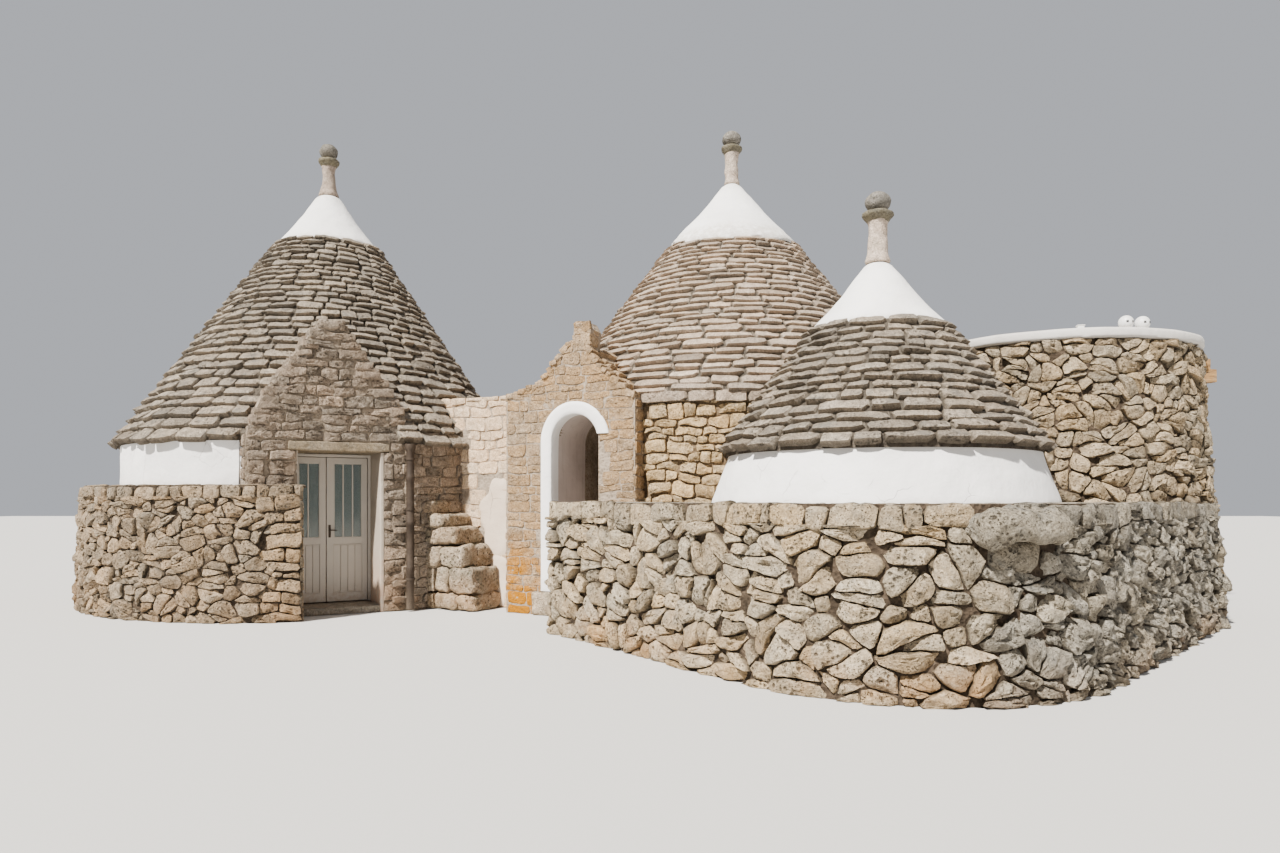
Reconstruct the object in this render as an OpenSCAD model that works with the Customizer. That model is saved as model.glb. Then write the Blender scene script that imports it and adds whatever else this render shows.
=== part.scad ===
// Trullo house: three corbelled cone-roofed rooms and one flat-roofed round room,
// joined by a gabled porch, an arched portal, a linking wall with a short open stair
// and rubble ring walls. Millimetres, +Z up, origin at the bottom centre of the whole.

/* [Left trullo] */
// Centre of the left trullo, left to right
a_x = -5180; // [-5300:10:-5000]
// Centre of the left trullo, front to back
a_y = 14200; // [14100:10:14300]
// Outer radius of the low rubble ring wall
a_ring_r = 3480; // [3300:10:3600]
// Height of the low rubble ring wall
a_ring_h = 1740; // [1600:10:1900]
// Outer radius of the drum
a_drum_r = 2950; // [2900:10:3000]
// Radius of the room
a_room_r = 1950; // [1850:10:2000]
// Height of the eaves
a_eave_z = 2340; // [2340:10:2400]
// Radius of the stone roof at the eaves
a_eave_r = 2990; // [2960:10:3040]
// Height where the white cap begins
a_cap_z = 5700; // [5500:10:5800]
// Radius where the white cap begins
a_cap_r = 790; // [700:10:850]

/* [Porch and door] */
// Turn of the porch front
porch_turn = 30; // [28:0.5:32]
// Left end of the porch front from its datum
porch_left = -1116; // [-1150:1:-1080]
// Right end of the porch front from its datum
porch_right = 928; // [900:1:960]
// Left side of the door opening
door_left = -491; // [-510:1:-470]
// Right side of the door opening
door_right = 598; // [580:1:620]
// Depth of the door behind the porch front
door_depth = 600; // [500:10:640]
// Height of the door sill
sill_z = 100; // [60:5:140]
// Underside of the door lintel
lintel_z = 2200; // [2150:5:2220]

/* [Middle trullo and portal] */
// Centre of the middle trullo, left to right
b_x = 1464; // [1450:2:1480]
// Centre of the middle trullo, front to back
b_y = 13640; // [13600:10:13680]
// Outer radius of the drum
b_drum_r = 2870; // [2850:10:2890]
// Radius of the room
b_room_r = 1900; // [1850:10:1910]
// Height of the eaves
b_eave_z = 2820; // [2790:10:2850]
// Radius of the stone roof at the eaves
b_eave_r = 2925; // [2915:5:2945]
// Height where the white cap begins
b_cap_z = 5640; // [5550:10:5700]
// Radius where the white cap begins
b_cap_r = 926; // [900:2:950]
// Turn of the portal front
portal_turn = -25; // [-26:0.5:-24]
// Height of the portal step and the floor behind it
portal_step_z = 320; // [250:10:340]
// Height where the arch springs
arch_spring_z = 2350; // [2300:10:2400]
// Height of the crown of the arch
arch_top_z = 2698; // [2690:2:2704]

/* [Front trullo and terrace] */
// Centre of the front trullo, left to right
c_x = 2880; // [2850:10:2910]
// Centre of the front trullo, front to back
c_y = 10330; // [10300:10:10360]
// Radius of the white drum where it leaves the terrace
c_drum_r = 1990; // [1950:10:2010]
// Radius of the white drum under the eaves
c_neck_r = 1770; // [1740:10:1790]
// Radius of the room
c_room_r = 1350; // [1300:10:1380]
// Height of the eaves
c_eave_z = 2080; // [2050:10:2120]
// Radius of the stone roof at the eaves
c_eave_r = 1830; // [1800:10:1850]
// Height where the white cap begins
c_cap_z = 3590; // [3500:10:3650]
// Radius where the white cap begins
c_cap_r = 800; // [760:10:830]
// Height of the terrace wall
t_wall_h = 1520; // [1480:10:1560]
// Thickness of the terrace wall at its foot
t_wall_w = 650; // [600:10:700]
// Inward lean of the terrace wall over its height
t_batter = 100; // [60:10:140]

/* [Round annex] */
// Centre of the round annex, left to right
d_x = 5750; // [5730:5:5770]
// Centre of the round annex, front to back
d_y = 12000; // [11980:5:12020]
// Radius of the annex wall at the ground
d_foot_r = 2010; // [1990:5:2030]
// Radius of the annex wall at the top
d_top_r = 1750; // [1730:5:1770]
// Radius of the room
d_room_r = 1250; // [1200:10:1280]
// Height of the annex wall
d_wall_h = 3500; // [3450:10:3560]

/* [Hidden] */
$fn = 256;

// open joints between neighbouring pieces: round a wall in degrees, on flat beds, on curved faces
seg_gap = 0.01;
bed_gap = 0.5;
face_gap = 2;

// outer limits of the whole, which set the origin
beam_end_x = 8100;
t_front_y = 6360;
org_x = (a_x - a_ring_r + beam_end_x) / 2;
org_y = (t_front_y + a_y + a_ring_r) / 2;

A = [a_x, a_y];
B = [b_x, b_y];
C = [c_x, c_y];
D = [d_x, d_y];

// datum points of the porch front, the portal front and the linking wall
PA = [-4100, 11500];
PB = [-1432, 11560];
PL = [-1720, 12160];
link_turn = -28.15;
link_len = 1700;
link_w = 600;
link_h = 3040;

// terrace wall: left run, rounded nose, right run
TE = [-1030, 9970];
t_left_turn = -55.2;
TR = [7240, 10580];
t_right_turn = 46.4;
t_corner1_x = TE[0] + (TE[1] - t_front_y) / tan(-t_left_turn);
t_corner2_x = TR[0] - (TR[1] - t_front_y) / tan(t_right_turn);
// the nose is one arc that runs tangent into both straight runs
t_nose_r = (t_corner2_x - t_corner1_x) / (tan(-t_left_turn / 2) + tan(t_right_turn / 2));
t_tan1 = t_nose_r * tan(-t_left_turn / 2);
t_tan2 = t_nose_r * tan(t_right_turn / 2);
t_left_len = (TE[1] - t_front_y) / sin(-t_left_turn) - t_tan1;
t_right_len = (TR[1] - t_front_y) / sin(t_right_turn) - t_tan2;
NC = [t_corner1_x + t_tan1, t_front_y + t_nose_r];

limestone = "#b9ab97";
rubble = "#b7a68f";
slab = "#9c9284";
whitewash = "#f1efea";
timber = "#b98a4e";
greige = "#a2968a";
glassc = "#6f8078";

module site() translate([-org_x, -org_y, 0]) children();
module at(c) site() translate([c[0], c[1], 0]) children();
module porch() site() translate([PA[0], PA[1], 0]) rotate([0, 0, porch_turn]) children();
module portal() site() translate([PB[0], PB[1], 0]) rotate([0, 0, portal_turn]) children();
module link() site() translate([PL[0], PL[1], 0]) rotate([0, 0, link_turn]) children();

// part of a round wall between two directions
module sector(c, r0, r1, z0, z1, a0, a1)
  at(c) translate([0, 0, z0]) rotate([0, 0, a0 + seg_gap])
    rotate_extrude(angle = a1 - a0 - 2 * seg_gap) translate([r0, 0]) square([r1 - r0, z1 - z0]);
module sector_profile(c, a0, a1, pts)
  at(c) rotate([0, 0, a0 + seg_gap]) rotate_extrude(angle = a1 - a0 - 2 * seg_gap) polygon(pts);

// corbelled roof: stone outside, domed room inside, closed at the top;
// the lower courses carry the upper ones at the level where the dome draws in
function joint_z(eave_z, cap_z) = eave_z + (cap_z - eave_z) * 0.42;
function cone_r(z, eave_r, z0, cap_r, cap_z) = eave_r + (cap_r - eave_r) * (z - z0) / (cap_z - z0);
module corbelled_lower(c, eave_r, eave_z, cap_r, cap_z, room_r, lip)
  at(c) rotate_extrude() polygon([
    [room_r, eave_z], [eave_r, eave_z], [eave_r, eave_z + lip],
    [cone_r(joint_z(eave_z, cap_z), eave_r, eave_z + lip, cap_r, cap_z), joint_z(eave_z, cap_z)],
    [room_r * 0.72, joint_z(eave_z, cap_z)]]);
module corbelled_upper(c, eave_r, eave_z, cap_r, cap_z, room_r, lip)
  at(c) rotate_extrude() polygon([
    [room_r * 0.72, joint_z(eave_z, cap_z)],
    [cone_r(joint_z(eave_z, cap_z), eave_r, eave_z + lip, cap_r, cap_z), joint_z(eave_z, cap_z)],
    [cap_r, cap_z], [0, cap_z], [0, cap_z - 450], [room_r * 0.22, cap_z - 520]]);
module room_void(c, room_r, eave_z, cap_z)
  at(c) rotate_extrude() polygon([
    [0, -10], [room_r, -10], [room_r, eave_z], [room_r * 0.72, eave_z + (cap_z - eave_z) * 0.42],
    [room_r * 0.22, cap_z - 520], [0, cap_z - 450]]);

// white cap: slightly hollow-sided cone
module cap(c, r, z, tip_r, tip_z)
  at(c) rotate_extrude() polygon([
    [0, z], [r, z], [r * 0.985, z + 40], [r * 0.48 + tip_r * 0.45, z + (tip_z - z) * 0.5],
    [tip_r, tip_z], [0, tip_z]]);

// pinnacle: flared foot, neck, cup and ball
module pinnacle(c, z, h, foot_r, neck_r, cup_r, ball_r)
  at(c) translate([0, 0, z]) {
    rotate_extrude() polygon([
      [0, 0], [foot_r, 0], [foot_r * 0.8, h * 0.12], [neck_r, h * 0.32], [neck_r, h * 0.48],
      [cup_r * 0.72, h * 0.60], [cup_r, h * 0.72], [cup_r * 0.92, h * 0.76],
      [ball_r * 0.55, h * 0.77], [0, h * 0.77]]);
    translate([0, 0, h - ball_r]) sphere(ball_r);
  }

// left and right edges of the portal and its depth
portal_l = -450;
portal_r = 1510;
portal_d = 1950;

// outlines of the two gabled fronts
module porch_outline() polygon([
  [porch_left, a_eave_z], [porch_left + 200, 2910], [-178, 3970], [80, 3970],
  [porch_right, 2780], [porch_right, a_eave_z]]);
module portal_outline() polygon([
  [portal_l, arch_spring_z], [portal_l, 3000], [40, 3095], [560, 3670], [790, 3590], [950, 3350],
  [portal_r, 2890], [portal_r, arch_spring_z]]);
module porch_prism(d0, d1)
  porch() translate([0, d1, 0]) rotate([90, 0, 0]) linear_extrude(d1 - d0) porch_outline();
module portal_prism(d0, d1)
  portal() translate([0, d1, 0]) rotate([90, 0, 0]) linear_extrude(d1 - d0) portal_outline();
module porch_block(h) porch() translate([porch_left - bed_gap, -600, -10])
  cube([porch_right - porch_left + 2 * bed_gap, 3400, h + 10]);
module portal_block(h) portal() translate([portal_l - bed_gap, -800, -10])
  cube([portal_r - portal_l + 2 * bed_gap, 800 + portal_d + bed_gap, h + 10]);

// ---- left trullo ----
module a_ring(a0, a1) color(rubble) difference() {
  sector_profile(A, a0, a1, [
    [a_drum_r + face_gap, 0], [a_ring_r, 0], [a_ring_r - 60, a_ring_h], [a_drum_r + face_gap, a_ring_h]]);
  porch() translate([door_left, -900, -10]) cube([2600, 3000, a_ring_h + 20]);
  porch() translate([porch_left - bed_gap, -bed_gap, -10]) cube([2600, 3000, a_ring_h + 20]);
}
module a_ring_wall_front() a_ring(190, 290);
module a_ring_wall_left() a_ring(108, 190);
module a_ring_wall_back() a_ring(25, 108);

module a_drum(a0, a1) color(whitewash) difference() {
  sector(A, a_room_r, a_drum_r, 0, a_eave_z - bed_gap, a0, a1);
  porch_block(a_eave_z + 10);
}
module a_drum_left() a_drum(150, 300);
module a_drum_back() a_drum(45, 150);
module a_drum_right() a_drum(-60, 45);

module porch_pier(x0, x1) color(limestone) difference() {
  porch() translate([x0, 0, 0]) cube([x1 - x0, 1700, a_eave_z]);
  at(A) translate([0, 0, -10]) cylinder(h = a_eave_z + 20, r = a_room_r);
  porch() translate([door_left - 110, -50, lintel_z]) cube([door_right - door_left + 220, 2000, 500]);
}
module porch_pier_left() porch_pier(porch_left, door_left);
module porch_pier_right() porch_pier(door_right, porch_right);
module porch_lintel() color(limestone) difference() {
  porch() translate([door_left - 110, -20, lintel_z])
    cube([door_right - door_left + 220, 1720, a_eave_z - lintel_z]);
  at(A) translate([0, 0, -10]) cylinder(h = a_eave_z + 20, r = a_room_r);
}
module porch_gable() color(limestone) difference() {
  porch_prism(0, 1600);
  room_void(A, a_room_r, a_eave_z, a_cap_z);
}
module porch_sill() color(limestone) difference() {
  porch() translate([door_left, 0, 0]) cube([door_right - door_left, 1700, sill_z]);
  at(A) translate([0, 0, -10]) cylinder(h = a_eave_z + 20, r = a_room_r);
}
module a_floor() color(limestone) at(A) cylinder(h = sill_z, r = a_room_r - face_gap);

module a_roof_cone_lower() color(slab) difference() {
  corbelled_lower(A, a_eave_r, a_eave_z, a_cap_r, a_cap_z, a_room_r, 90);
  porch_prism(-600, 1600);
}
module a_roof_cone_upper() color(slab) difference() {
  corbelled_upper(A, a_eave_r, a_eave_z, a_cap_r, a_cap_z, a_room_r, 90);
  porch_prism(-600, 1600);
}
module a_roof_cap() color(whitewash) cap(A, a_cap_r, a_cap_z, 160, 6600);
module a_pinnacle() color(limestone) pinnacle(A, 6600, 860, 173, 93, 160, 145);

// ---- door: frame, two unequal glazed leaves opening inward ----
frame_w = 45;
leaf_gap = 6;
leaf_t = 45;
meet_x = -15;
leaf_bot = sill_z + 12;
leaf_top = lintel_z - frame_w - leaf_gap;
module door_frame() color(greige) porch() difference() {
  translate([door_left, door_depth, sill_z]) cube([door_right - door_left, 70, lintel_z - sill_z]);
  translate([door_left + frame_w, door_depth - 10, sill_z - 10])
    cube([door_right - door_left - 2 * frame_w, 90, lintel_z - frame_w - sill_z + 10]);
}
leaf_l0 = door_left + frame_w + leaf_gap;
leaf_l1 = meet_x - 5;
leaf_r0 = meet_x + 5;
leaf_r1 = door_right - frame_w - leaf_gap;
glass_z0 = 1010;
glass_z1 = leaf_top - 75;
glass_l = [leaf_l0 + 55, leaf_l1 - 80];
glass_r = [leaf_r0 + 95, leaf_r1 - 70];
leaf_y = door_depth + 25;
module leaf(x0, x1, g) color(greige) porch() difference() {
  translate([x0, leaf_y, leaf_bot]) cube([x1 - x0, leaf_t, leaf_top - leaf_bot]);
  translate([g[0], leaf_y - 10, glass_z0]) cube([g[1] - g[0], leaf_t + 20, glass_z1 - glass_z0]);
}
module pane(g) color(glassc) porch()
  translate([g[0], leaf_y + leaf_t / 2 - 5, glass_z0]) cube([g[1] - g[0], 10, glass_z1 - glass_z0]);
module door_leaf_left() leaf(leaf_l0, leaf_l1, glass_l);
module door_leaf_right() leaf(leaf_r0, leaf_r1, glass_r);
module door_glass_left() pane(glass_l);
module door_glass_right() pane(glass_r);

module downpipe() color("#7a6149") at([-3196, 11872]) translate([0, 0, 30]) cylinder(h = 2300, r = 55);

// ---- linking wall and stair ----
module connecting_wall() color(limestone) difference() {
  link() translate([-link_len, 0, 0]) cube([link_len + 600, link_w, link_h]);
  at(A) translate([0, 0, -10]) cylinder(h = a_eave_z + 10, r = a_drum_r + face_gap);
  at(A) rotate_extrude() polygon([
    [0, a_eave_z - 5], [a_eave_r + face_gap, a_eave_z - 5], [a_eave_r + face_gap, a_eave_z + 90 + face_gap],
    [a_cap_r + face_gap, a_cap_z + face_gap], [0, a_cap_z + face_gap]]);
  portal_block(link_h + 10);
  b_body();
}
// each step: where its front edge starts along the stair, and its top
steps = [[-60, 245], [-40, 600], [110, 915], [260, 1160], [480, 1350], [660, 1550], [790, 1780]];
stair_w = 660;
stair_x0 = -380;
module stair() color(limestone) difference() {
  link() for (i = [0:len(steps) - 1])
    translate([stair_x0 - 1250, -stair_w, i == 0 ? 0 : steps[i - 1][1]])
      cube([1250 - steps[i][0], stair_w - bed_gap, steps[i][1] - (i == 0 ? 0 : steps[i - 1][1])]);
  at(A) translate([0, 0, -10]) cylinder(h = a_eave_z, r = a_drum_r + face_gap);
}

// ---- portal and middle trullo ----
open_l = 270;
open_r = 982;
open_c = (open_l + open_r) / 2;
open_w = (open_r - open_l) / 2;
arch_h = arch_top_z - arch_spring_z;
arch_r = (open_w * open_w + arch_h * arch_h) / (2 * arch_h);
module portal_pier(x0, x1) color(limestone) difference() {
  portal() translate([x0, 0, 0]) cube([x1 - x0, portal_d, arch_spring_z]);
  at(B) translate([0, 0, -10]) cylinder(h = b_eave_z, r = b_room_r);
}
module portal_pier_left() portal_pier(portal_l, open_l);
module portal_pier_right() portal_pier(open_r, portal_r);
module portal_arch() color(limestone) difference() {
  union() {
    portal_prism(0, portal_d);
    // small blocks standing on the point of the gable
    portal() translate([0, 300, 0]) rotate([90, 0, 0]) linear_extrude(300)
      polygon([[590, 3600], [625, 3900], [800, 3900], [865, 3790], [840, 3500]]);
  }
  room_void(B, b_room_r, b_eave_z, b_cap_z);
  portal() translate([open_c, 3300, arch_top_z - arch_r]) rotate([90, 0, 0]) cylinder(h = 3400, r = arch_r);
}
module portal_step() color(limestone) difference() {
  portal() translate([open_l, 0, 0]) cube([open_r - open_l, portal_d, portal_step_z]);
  at(B) translate([0, 0, -10]) cylinder(h = b_eave_z, r = b_room_r);
}
inner_turn = atan2(c_y - b_y, c_x - b_x);
module inner_doorway() at(B) rotate([0, 0, inner_turn])
  translate([0, -400, portal_step_z]) cube([b_drum_r + 300, 800, 1750]);
module b_drum(a0, a1) color(limestone) difference() {
  sector(B, b_room_r, b_drum_r, 0, b_eave_z - bed_gap, a0, a1);
  portal_block(b_eave_z + 20);
  inner_doorway();
  room_void(C, c_room_r, c_eave_z, c_cap_z);
}
module b_drum_front() b_drum(-135.2, inner_turn);
module b_drum_right() b_drum(inner_turn, 20);
module b_drum_back() b_drum(20, 120);
module b_drum_left() b_drum(120, 224.8);
module b_floor() color(limestone) at(B) cylinder(h = portal_step_z, r = b_room_r - face_gap);
module b_roof_cone_lower() color(slab) difference() {
  corbelled_lower(B, b_eave_r, b_eave_z, b_cap_r, b_cap_z, b_room_r, 103);
  portal_prism(-900, portal_d + bed_gap);
  room_void(C, c_room_r, c_eave_z, c_cap_z);
}
module b_roof_cone_upper() color(slab)
  corbelled_upper(B, b_eave_r, b_eave_z, b_cap_r, b_cap_z, b_room_r, 103);
module b_roof_cap() color(whitewash) cap(B, b_cap_r, b_cap_z, 118, 6591);
module b_pinnacle() color(limestone) pinnacle(B, 6591, 847, 123, 98, 176, 151);

// what the lower rooms give way to: the middle trullo and the annex
module b_body() {
  at(B) translate([0, 0, -10]) cylinder(h = b_eave_z + 10, r = b_drum_r + face_gap);
  at(B) rotate_extrude() polygon([
    [0, b_eave_z - 5], [b_eave_r + face_gap, b_eave_z - 5], [b_eave_r + face_gap, b_eave_z + 103 + face_gap],
    [b_cap_r + face_gap, b_cap_z + face_gap], [0, b_cap_z + face_gap]]);
}
module d_body() at(D) cylinder(h = d_wall_h, r1 = d_foot_r + face_gap, r2 = d_top_r + face_gap);

// ---- front trullo ----
module c_drum(a0, a1) color(whitewash) difference() {
  sector_profile(C, a0, a1, [
    [c_room_r, 0], [c_drum_r, 0], [c_drum_r, t_wall_h - 40], [c_neck_r, c_eave_z - bed_gap],
    [c_room_r, c_eave_z - bed_gap]]);
  at(B) translate([0, 0, -10]) cylinder(h = b_eave_z + 10, r = b_drum_r + face_gap);
  d_body();
}
module c_drum_left() c_drum(125, 262);
module c_drum_right() c_drum(262, 375);
module c_drum_back() c_drum(45, 90);
module c_roof_cone_lower() color(slab) difference() {
  corbelled_lower(C, c_eave_r, c_eave_z, c_cap_r, c_cap_z, c_room_r, 120);
  b_body();
  d_body();
}
module c_roof_cone_upper() color(slab) difference() {
  corbelled_upper(C, c_eave_r, c_eave_z, c_cap_r, c_cap_z, c_room_r, 120);
  b_body();
}
module c_roof_cap() color(whitewash) cap(C, c_cap_r, c_cap_z, 130, 4430);
module c_pinnacle() color(limestone) pinnacle(C, 4430, 850, 139, 104, 184, 149);

// ---- terrace: rubble retaining wall and the made-up ground behind it ----
module run_profile() polygon([[0, 0], [t_wall_w, 0], [t_wall_w, t_wall_h], [t_batter, t_wall_h]]);
// a straight run: outer foot along +X, the wall lies on its +Y side
module straight_run(len) rotate([90, 0, 90]) linear_extrude(len) run_profile();
module nose_arc(c, a0, a1) sector_profile(c, a0, a1, [
  [t_nose_r - t_wall_w, 0], [t_nose_r, 0], [t_nose_r - t_batter, t_wall_h], [t_nose_r - t_wall_w, t_wall_h]]);
module terrace_wall_left() color(rubble)
  at(TE) rotate([0, 0, t_left_turn]) straight_run(t_left_len);
module terrace_wall_nose() color(rubble) nose_arc(NC, 270 + t_left_turn, 270 + t_right_turn);
module terrace_wall_right() color(rubble) difference() {
  at(TR) rotate([0, 0, t_right_turn]) translate([-t_right_len, 0, 0]) straight_run(t_right_len);
  d_body();
}
function turn(a, p) = [p[0] * cos(a) - p[1] * sin(a), p[0] * sin(a) + p[1] * cos(a)];
t_inner1 = TE + turn(t_left_turn, [0, t_wall_w]);
portal_p1 = PB + turn(portal_turn, [1090, 0]);
portal_p2 = PB + turn(portal_turn, [1450, 0]);
module terrace_return() color(rubble)
  site() linear_extrude(t_wall_h) polygon([TE, t_inner1, portal_p2, portal_p1]);
fill_in = t_wall_w + 5;
module terrace_fill() color(limestone) difference() {
  site() linear_extrude(t_wall_h - 40) polygon(concat(
    [portal_p2 + turn(portal_turn, [5, 1500]), portal_p2 + turn(portal_turn, [5, -2]),
     TE + turn(t_left_turn, [5, fill_in])],
    [for (i = [0:14]) NC + turn(270 + t_left_turn + (t_right_turn - t_left_turn) * i / 14, [t_nose_r - fill_in, 0])],
    [TR + turn(t_right_turn, [-600, fill_in]), D, B]));
  portal_block(4000);
  at(B) translate([0, 0, -10]) cylinder(h = b_eave_z, r = b_drum_r + 2);
  at(C) translate([0, 0, -10]) cylinder(h = b_eave_z, r = c_drum_r + 2);
  at(D) translate([0, 0, -10]) cylinder(h = b_eave_z, r = d_foot_r + 2);
  at([0, 12380]) translate([-20000, 0, -10]) cube([40000, 5000, 4000]);
}

// ---- round annex ----
d_ledge_z = d_wall_h - 120;
module d_profile(a0, a1) sector_profile(D, a0, a1, [
  [d_room_r, 0], [d_foot_r, 0], [d_top_r, d_wall_h], [d_room_r + 100, d_wall_h],
  [d_room_r + 100, d_ledge_z], [d_room_r, d_ledge_z]]);
d_open0 = -800;
d_open1 = 0;
beam_z = 3200;
beam_h = 190;
module d_doorway(h) at(D) translate([0, d_open0, -10]) cube([2600, d_open1 - d_open0, h + 10]);
module d_wall_part(a0, a1) color(rubble) difference() {
  d_profile(a0, a1);
  d_doorway(d_wall_h + 10);
  d_timber();
  b_body();
}
module d_wall_left() d_wall_part(130, 245);
module d_wall_front() d_wall_part(245, 345);
module d_wall_back() d_wall_part(-2, 130);
module d_door_head() color(rubble) difference() {
  d_profile(-60, 30);
  at(D) translate([0, d_open1, -10]) cube([2600, 2600, d_wall_h + 20]);
  at(D) translate([0, d_open0 - 2600, -10]) cube([2600, 2600, d_wall_h + 20]);
  at(D) translate([0, -2600, -10]) cube([2600, 5200, beam_z + beam_h + 10]);
}
module d_timber() {
  at(D) translate([d_top_r - 330, d_open0 - 120, beam_z]) cube([250, d_open1 - d_open0 + 240, beam_h]);
  site() translate([D[0] + d_top_r - 200, D[1] + d_open1 - 30, beam_z]) cube([beam_end_x - D[0] - d_top_r + 200, 150, beam_h]);
}
module d_timber_lintel() color(timber) d_timber();
module d_door_pier() color(rubble) difference() {
  at(D) translate([0, d_open1 + 430, 0]) rotate([90, 0, 0]) linear_extrude(430)
    polygon([[1500, 0], [2340, 0], [2180, beam_z], [1500, beam_z]]);
  d_body();
}
module d_roof_slab() color(whitewash) at(D) translate([0, 0, d_ledge_z + bed_gap])
  cylinder(h = 120 - bed_gap, r = d_room_r + 100 - face_gap);
module d_coping() color(whitewash) at(D) difference() {
  translate([0, 0, d_wall_h + bed_gap]) cylinder(h = 120 - bed_gap, r = d_top_r + 80);
  translate([0, 0, d_wall_h - 10]) cylinder(h = 140, r = d_room_r + 60);
}
// two round lamps and a small vent on the coping
module ball_lamp(a) at(D) rotate([0, 0, a]) translate([1620, 0, d_wall_h + 120]) {
  cylinder(h = 50, r = 60);
  translate([0, 0, 90]) sphere(88);
}
module d_roof_fittings() color(whitewash) {
  ball_lamp(-84);
  ball_lamp(-76);
  at(D) rotate([0, 0, -103]) translate([1560, -40, d_wall_h + 120]) cube([80, 80, 70]);
}

a_ring_wall_front();
a_ring_wall_left();
a_ring_wall_back();
a_drum_left();
a_drum_back();
a_drum_right();
porch_pier_left();
porch_pier_right();
porch_lintel();
porch_gable();
porch_sill();
a_floor();
door_frame();
door_leaf_left();
door_leaf_right();
door_glass_left();
door_glass_right();
a_roof_cone_lower();
a_roof_cone_upper();
a_roof_cap();
a_pinnacle();
downpipe();
connecting_wall();
stair();
portal_pier_left();
portal_pier_right();
portal_arch();
portal_step();
b_drum_left();
b_drum_front();
b_drum_right();
b_drum_back();
b_floor();
b_roof_cone_lower();
b_roof_cone_upper();
b_roof_cap();
b_pinnacle();
c_drum_left();
c_drum_right();
c_drum_back();
c_roof_cone_lower();
c_roof_cone_upper();
c_roof_cap();
c_pinnacle();
terrace_return();
terrace_wall_left();
terrace_wall_nose();
terrace_wall_right();
terrace_fill();
d_wall_left();
d_wall_front();
d_wall_back();
d_door_head();
d_door_pier();
d_timber_lintel();
d_roof_slab();
d_coping();
d_roof_fittings();
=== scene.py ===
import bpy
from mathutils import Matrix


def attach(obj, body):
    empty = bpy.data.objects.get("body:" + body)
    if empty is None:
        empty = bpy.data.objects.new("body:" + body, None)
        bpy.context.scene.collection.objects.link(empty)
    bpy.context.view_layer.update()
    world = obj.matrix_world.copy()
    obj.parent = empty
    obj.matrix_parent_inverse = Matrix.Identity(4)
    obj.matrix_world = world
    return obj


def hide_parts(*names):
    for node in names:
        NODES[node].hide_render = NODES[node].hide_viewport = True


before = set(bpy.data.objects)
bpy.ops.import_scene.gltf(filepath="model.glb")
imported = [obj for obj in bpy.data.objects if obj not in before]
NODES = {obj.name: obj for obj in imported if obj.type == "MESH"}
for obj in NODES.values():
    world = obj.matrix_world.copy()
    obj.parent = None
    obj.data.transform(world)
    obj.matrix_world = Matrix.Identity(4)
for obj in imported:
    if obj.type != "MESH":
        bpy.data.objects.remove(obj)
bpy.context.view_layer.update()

import math
import bpy
import numpy as np

OX, OY = -0.28, 12.02          # plan origin of the part in site metres
TAU = 2 * math.pi


# ------------------------------------------------------------------ noise
def _h(ix, iy, iz, seed):
    h = (ix.astype(np.uint32) * np.uint32(374761393) + iy.astype(np.uint32) * np.uint32(668265263)
         + iz.astype(np.uint32) * np.uint32(2246822519) + np.uint32((seed * 3266489917) & 0xFFFFFFFF))
    h = (h ^ (h >> np.uint32(15))) * np.uint32(2654435761)
    h = (h ^ (h >> np.uint32(13))) * np.uint32(1274126177)
    h = h ^ (h >> np.uint32(16))
    return h.astype(np.float64) / 2147483647.5 - 1.0


def vnoise(x, y, z=0.0, seed=0):
    x = np.asarray(x, float); y = np.asarray(y, float) + 0 * x; z = np.asarray(z, float) + 0 * x
    ix, iy, iz = (np.floor(v).astype(np.int64) for v in (x, y, z))
    fx, fy, fz = x - ix, y - iy, z - iz
    u, v, w = (f * f * f * (f * (f * 6 - 15) + 10) for f in (fx, fy, fz))
    out = 0
    for dx in (0, 1):
        for dy in (0, 1):
            for dz in (0, 1):
                k = (u if dx else 1 - u) * (v if dy else 1 - v) * (w if dz else 1 - w)
                out = out + k * _h(ix + dx, iy + dy, iz + dz, seed)
    return out


def fbm(x, y, z=0.0, seed=0, octaves=3, gain=0.5):
    out, a, f = 0, 1.0, 1.0
    for o in range(octaves):
        out = out + a * vnoise(np.asarray(x) * f, np.asarray(y) * f, np.asarray(z) * f, seed + 17 * o)
        a *= gain; f *= 2.03
    return out


# ------------------------------------------------------------------ mesh pieces
class Piece:
    """Collects triangles with a per-vertex tint: brightness, warmth, variant, face (1) or joint (0)."""
    def __init__(self, name, mat, slot, body="house", replaces=(), sharp=38):
        self.name, self.mat, self.slot, self.body, self.rep, self.sharp = name, mat, slot, body, replaces, sharp
        self.V, self.F, self.T, self.n = [], [], [], 0

    def add(self, V, F, tint=(0.5, 0.5, 0.5, 1.0)):
        V = np.asarray(V, float).reshape(-1, 3)
        F = np.asarray(F, np.int64).reshape(-1, 3)
        T = np.asarray(tint, float)
        if T.ndim == 1:
            T = np.tile(T, (len(V), 1))
        self.V.append(V); self.F.append(F + self.n); self.T.append(T); self.n += len(V)

    def build(self):
        V = np.concatenate(self.V); F = np.concatenate(self.F); T = np.concatenate(self.T)
        V[:, 2] = np.maximum(V[:, 2], 0.002)
        me = bpy.data.meshes.new(self.name)
        me.from_pydata(V.tolist(), [], F.tolist())
        me.update()
        at = me.color_attributes.new(name="tint", type="FLOAT_COLOR", domain="POINT")
        at.data.foreach_set("color", T.astype(np.float32).ravel())
        me.shade_smooth()
        me.set_sharp_from_angle(angle=math.radians(self.sharp))
        ob = bpy.data.objects.new(self.name, me)
        bpy.context.scene.collection.objects.link(ob)
        me.materials.append(self.mat)
        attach(ob, self.body)
        if self.rep:
            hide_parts(*self.rep)
        print(self.name, len(F), "triangles")
        return ob


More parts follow.
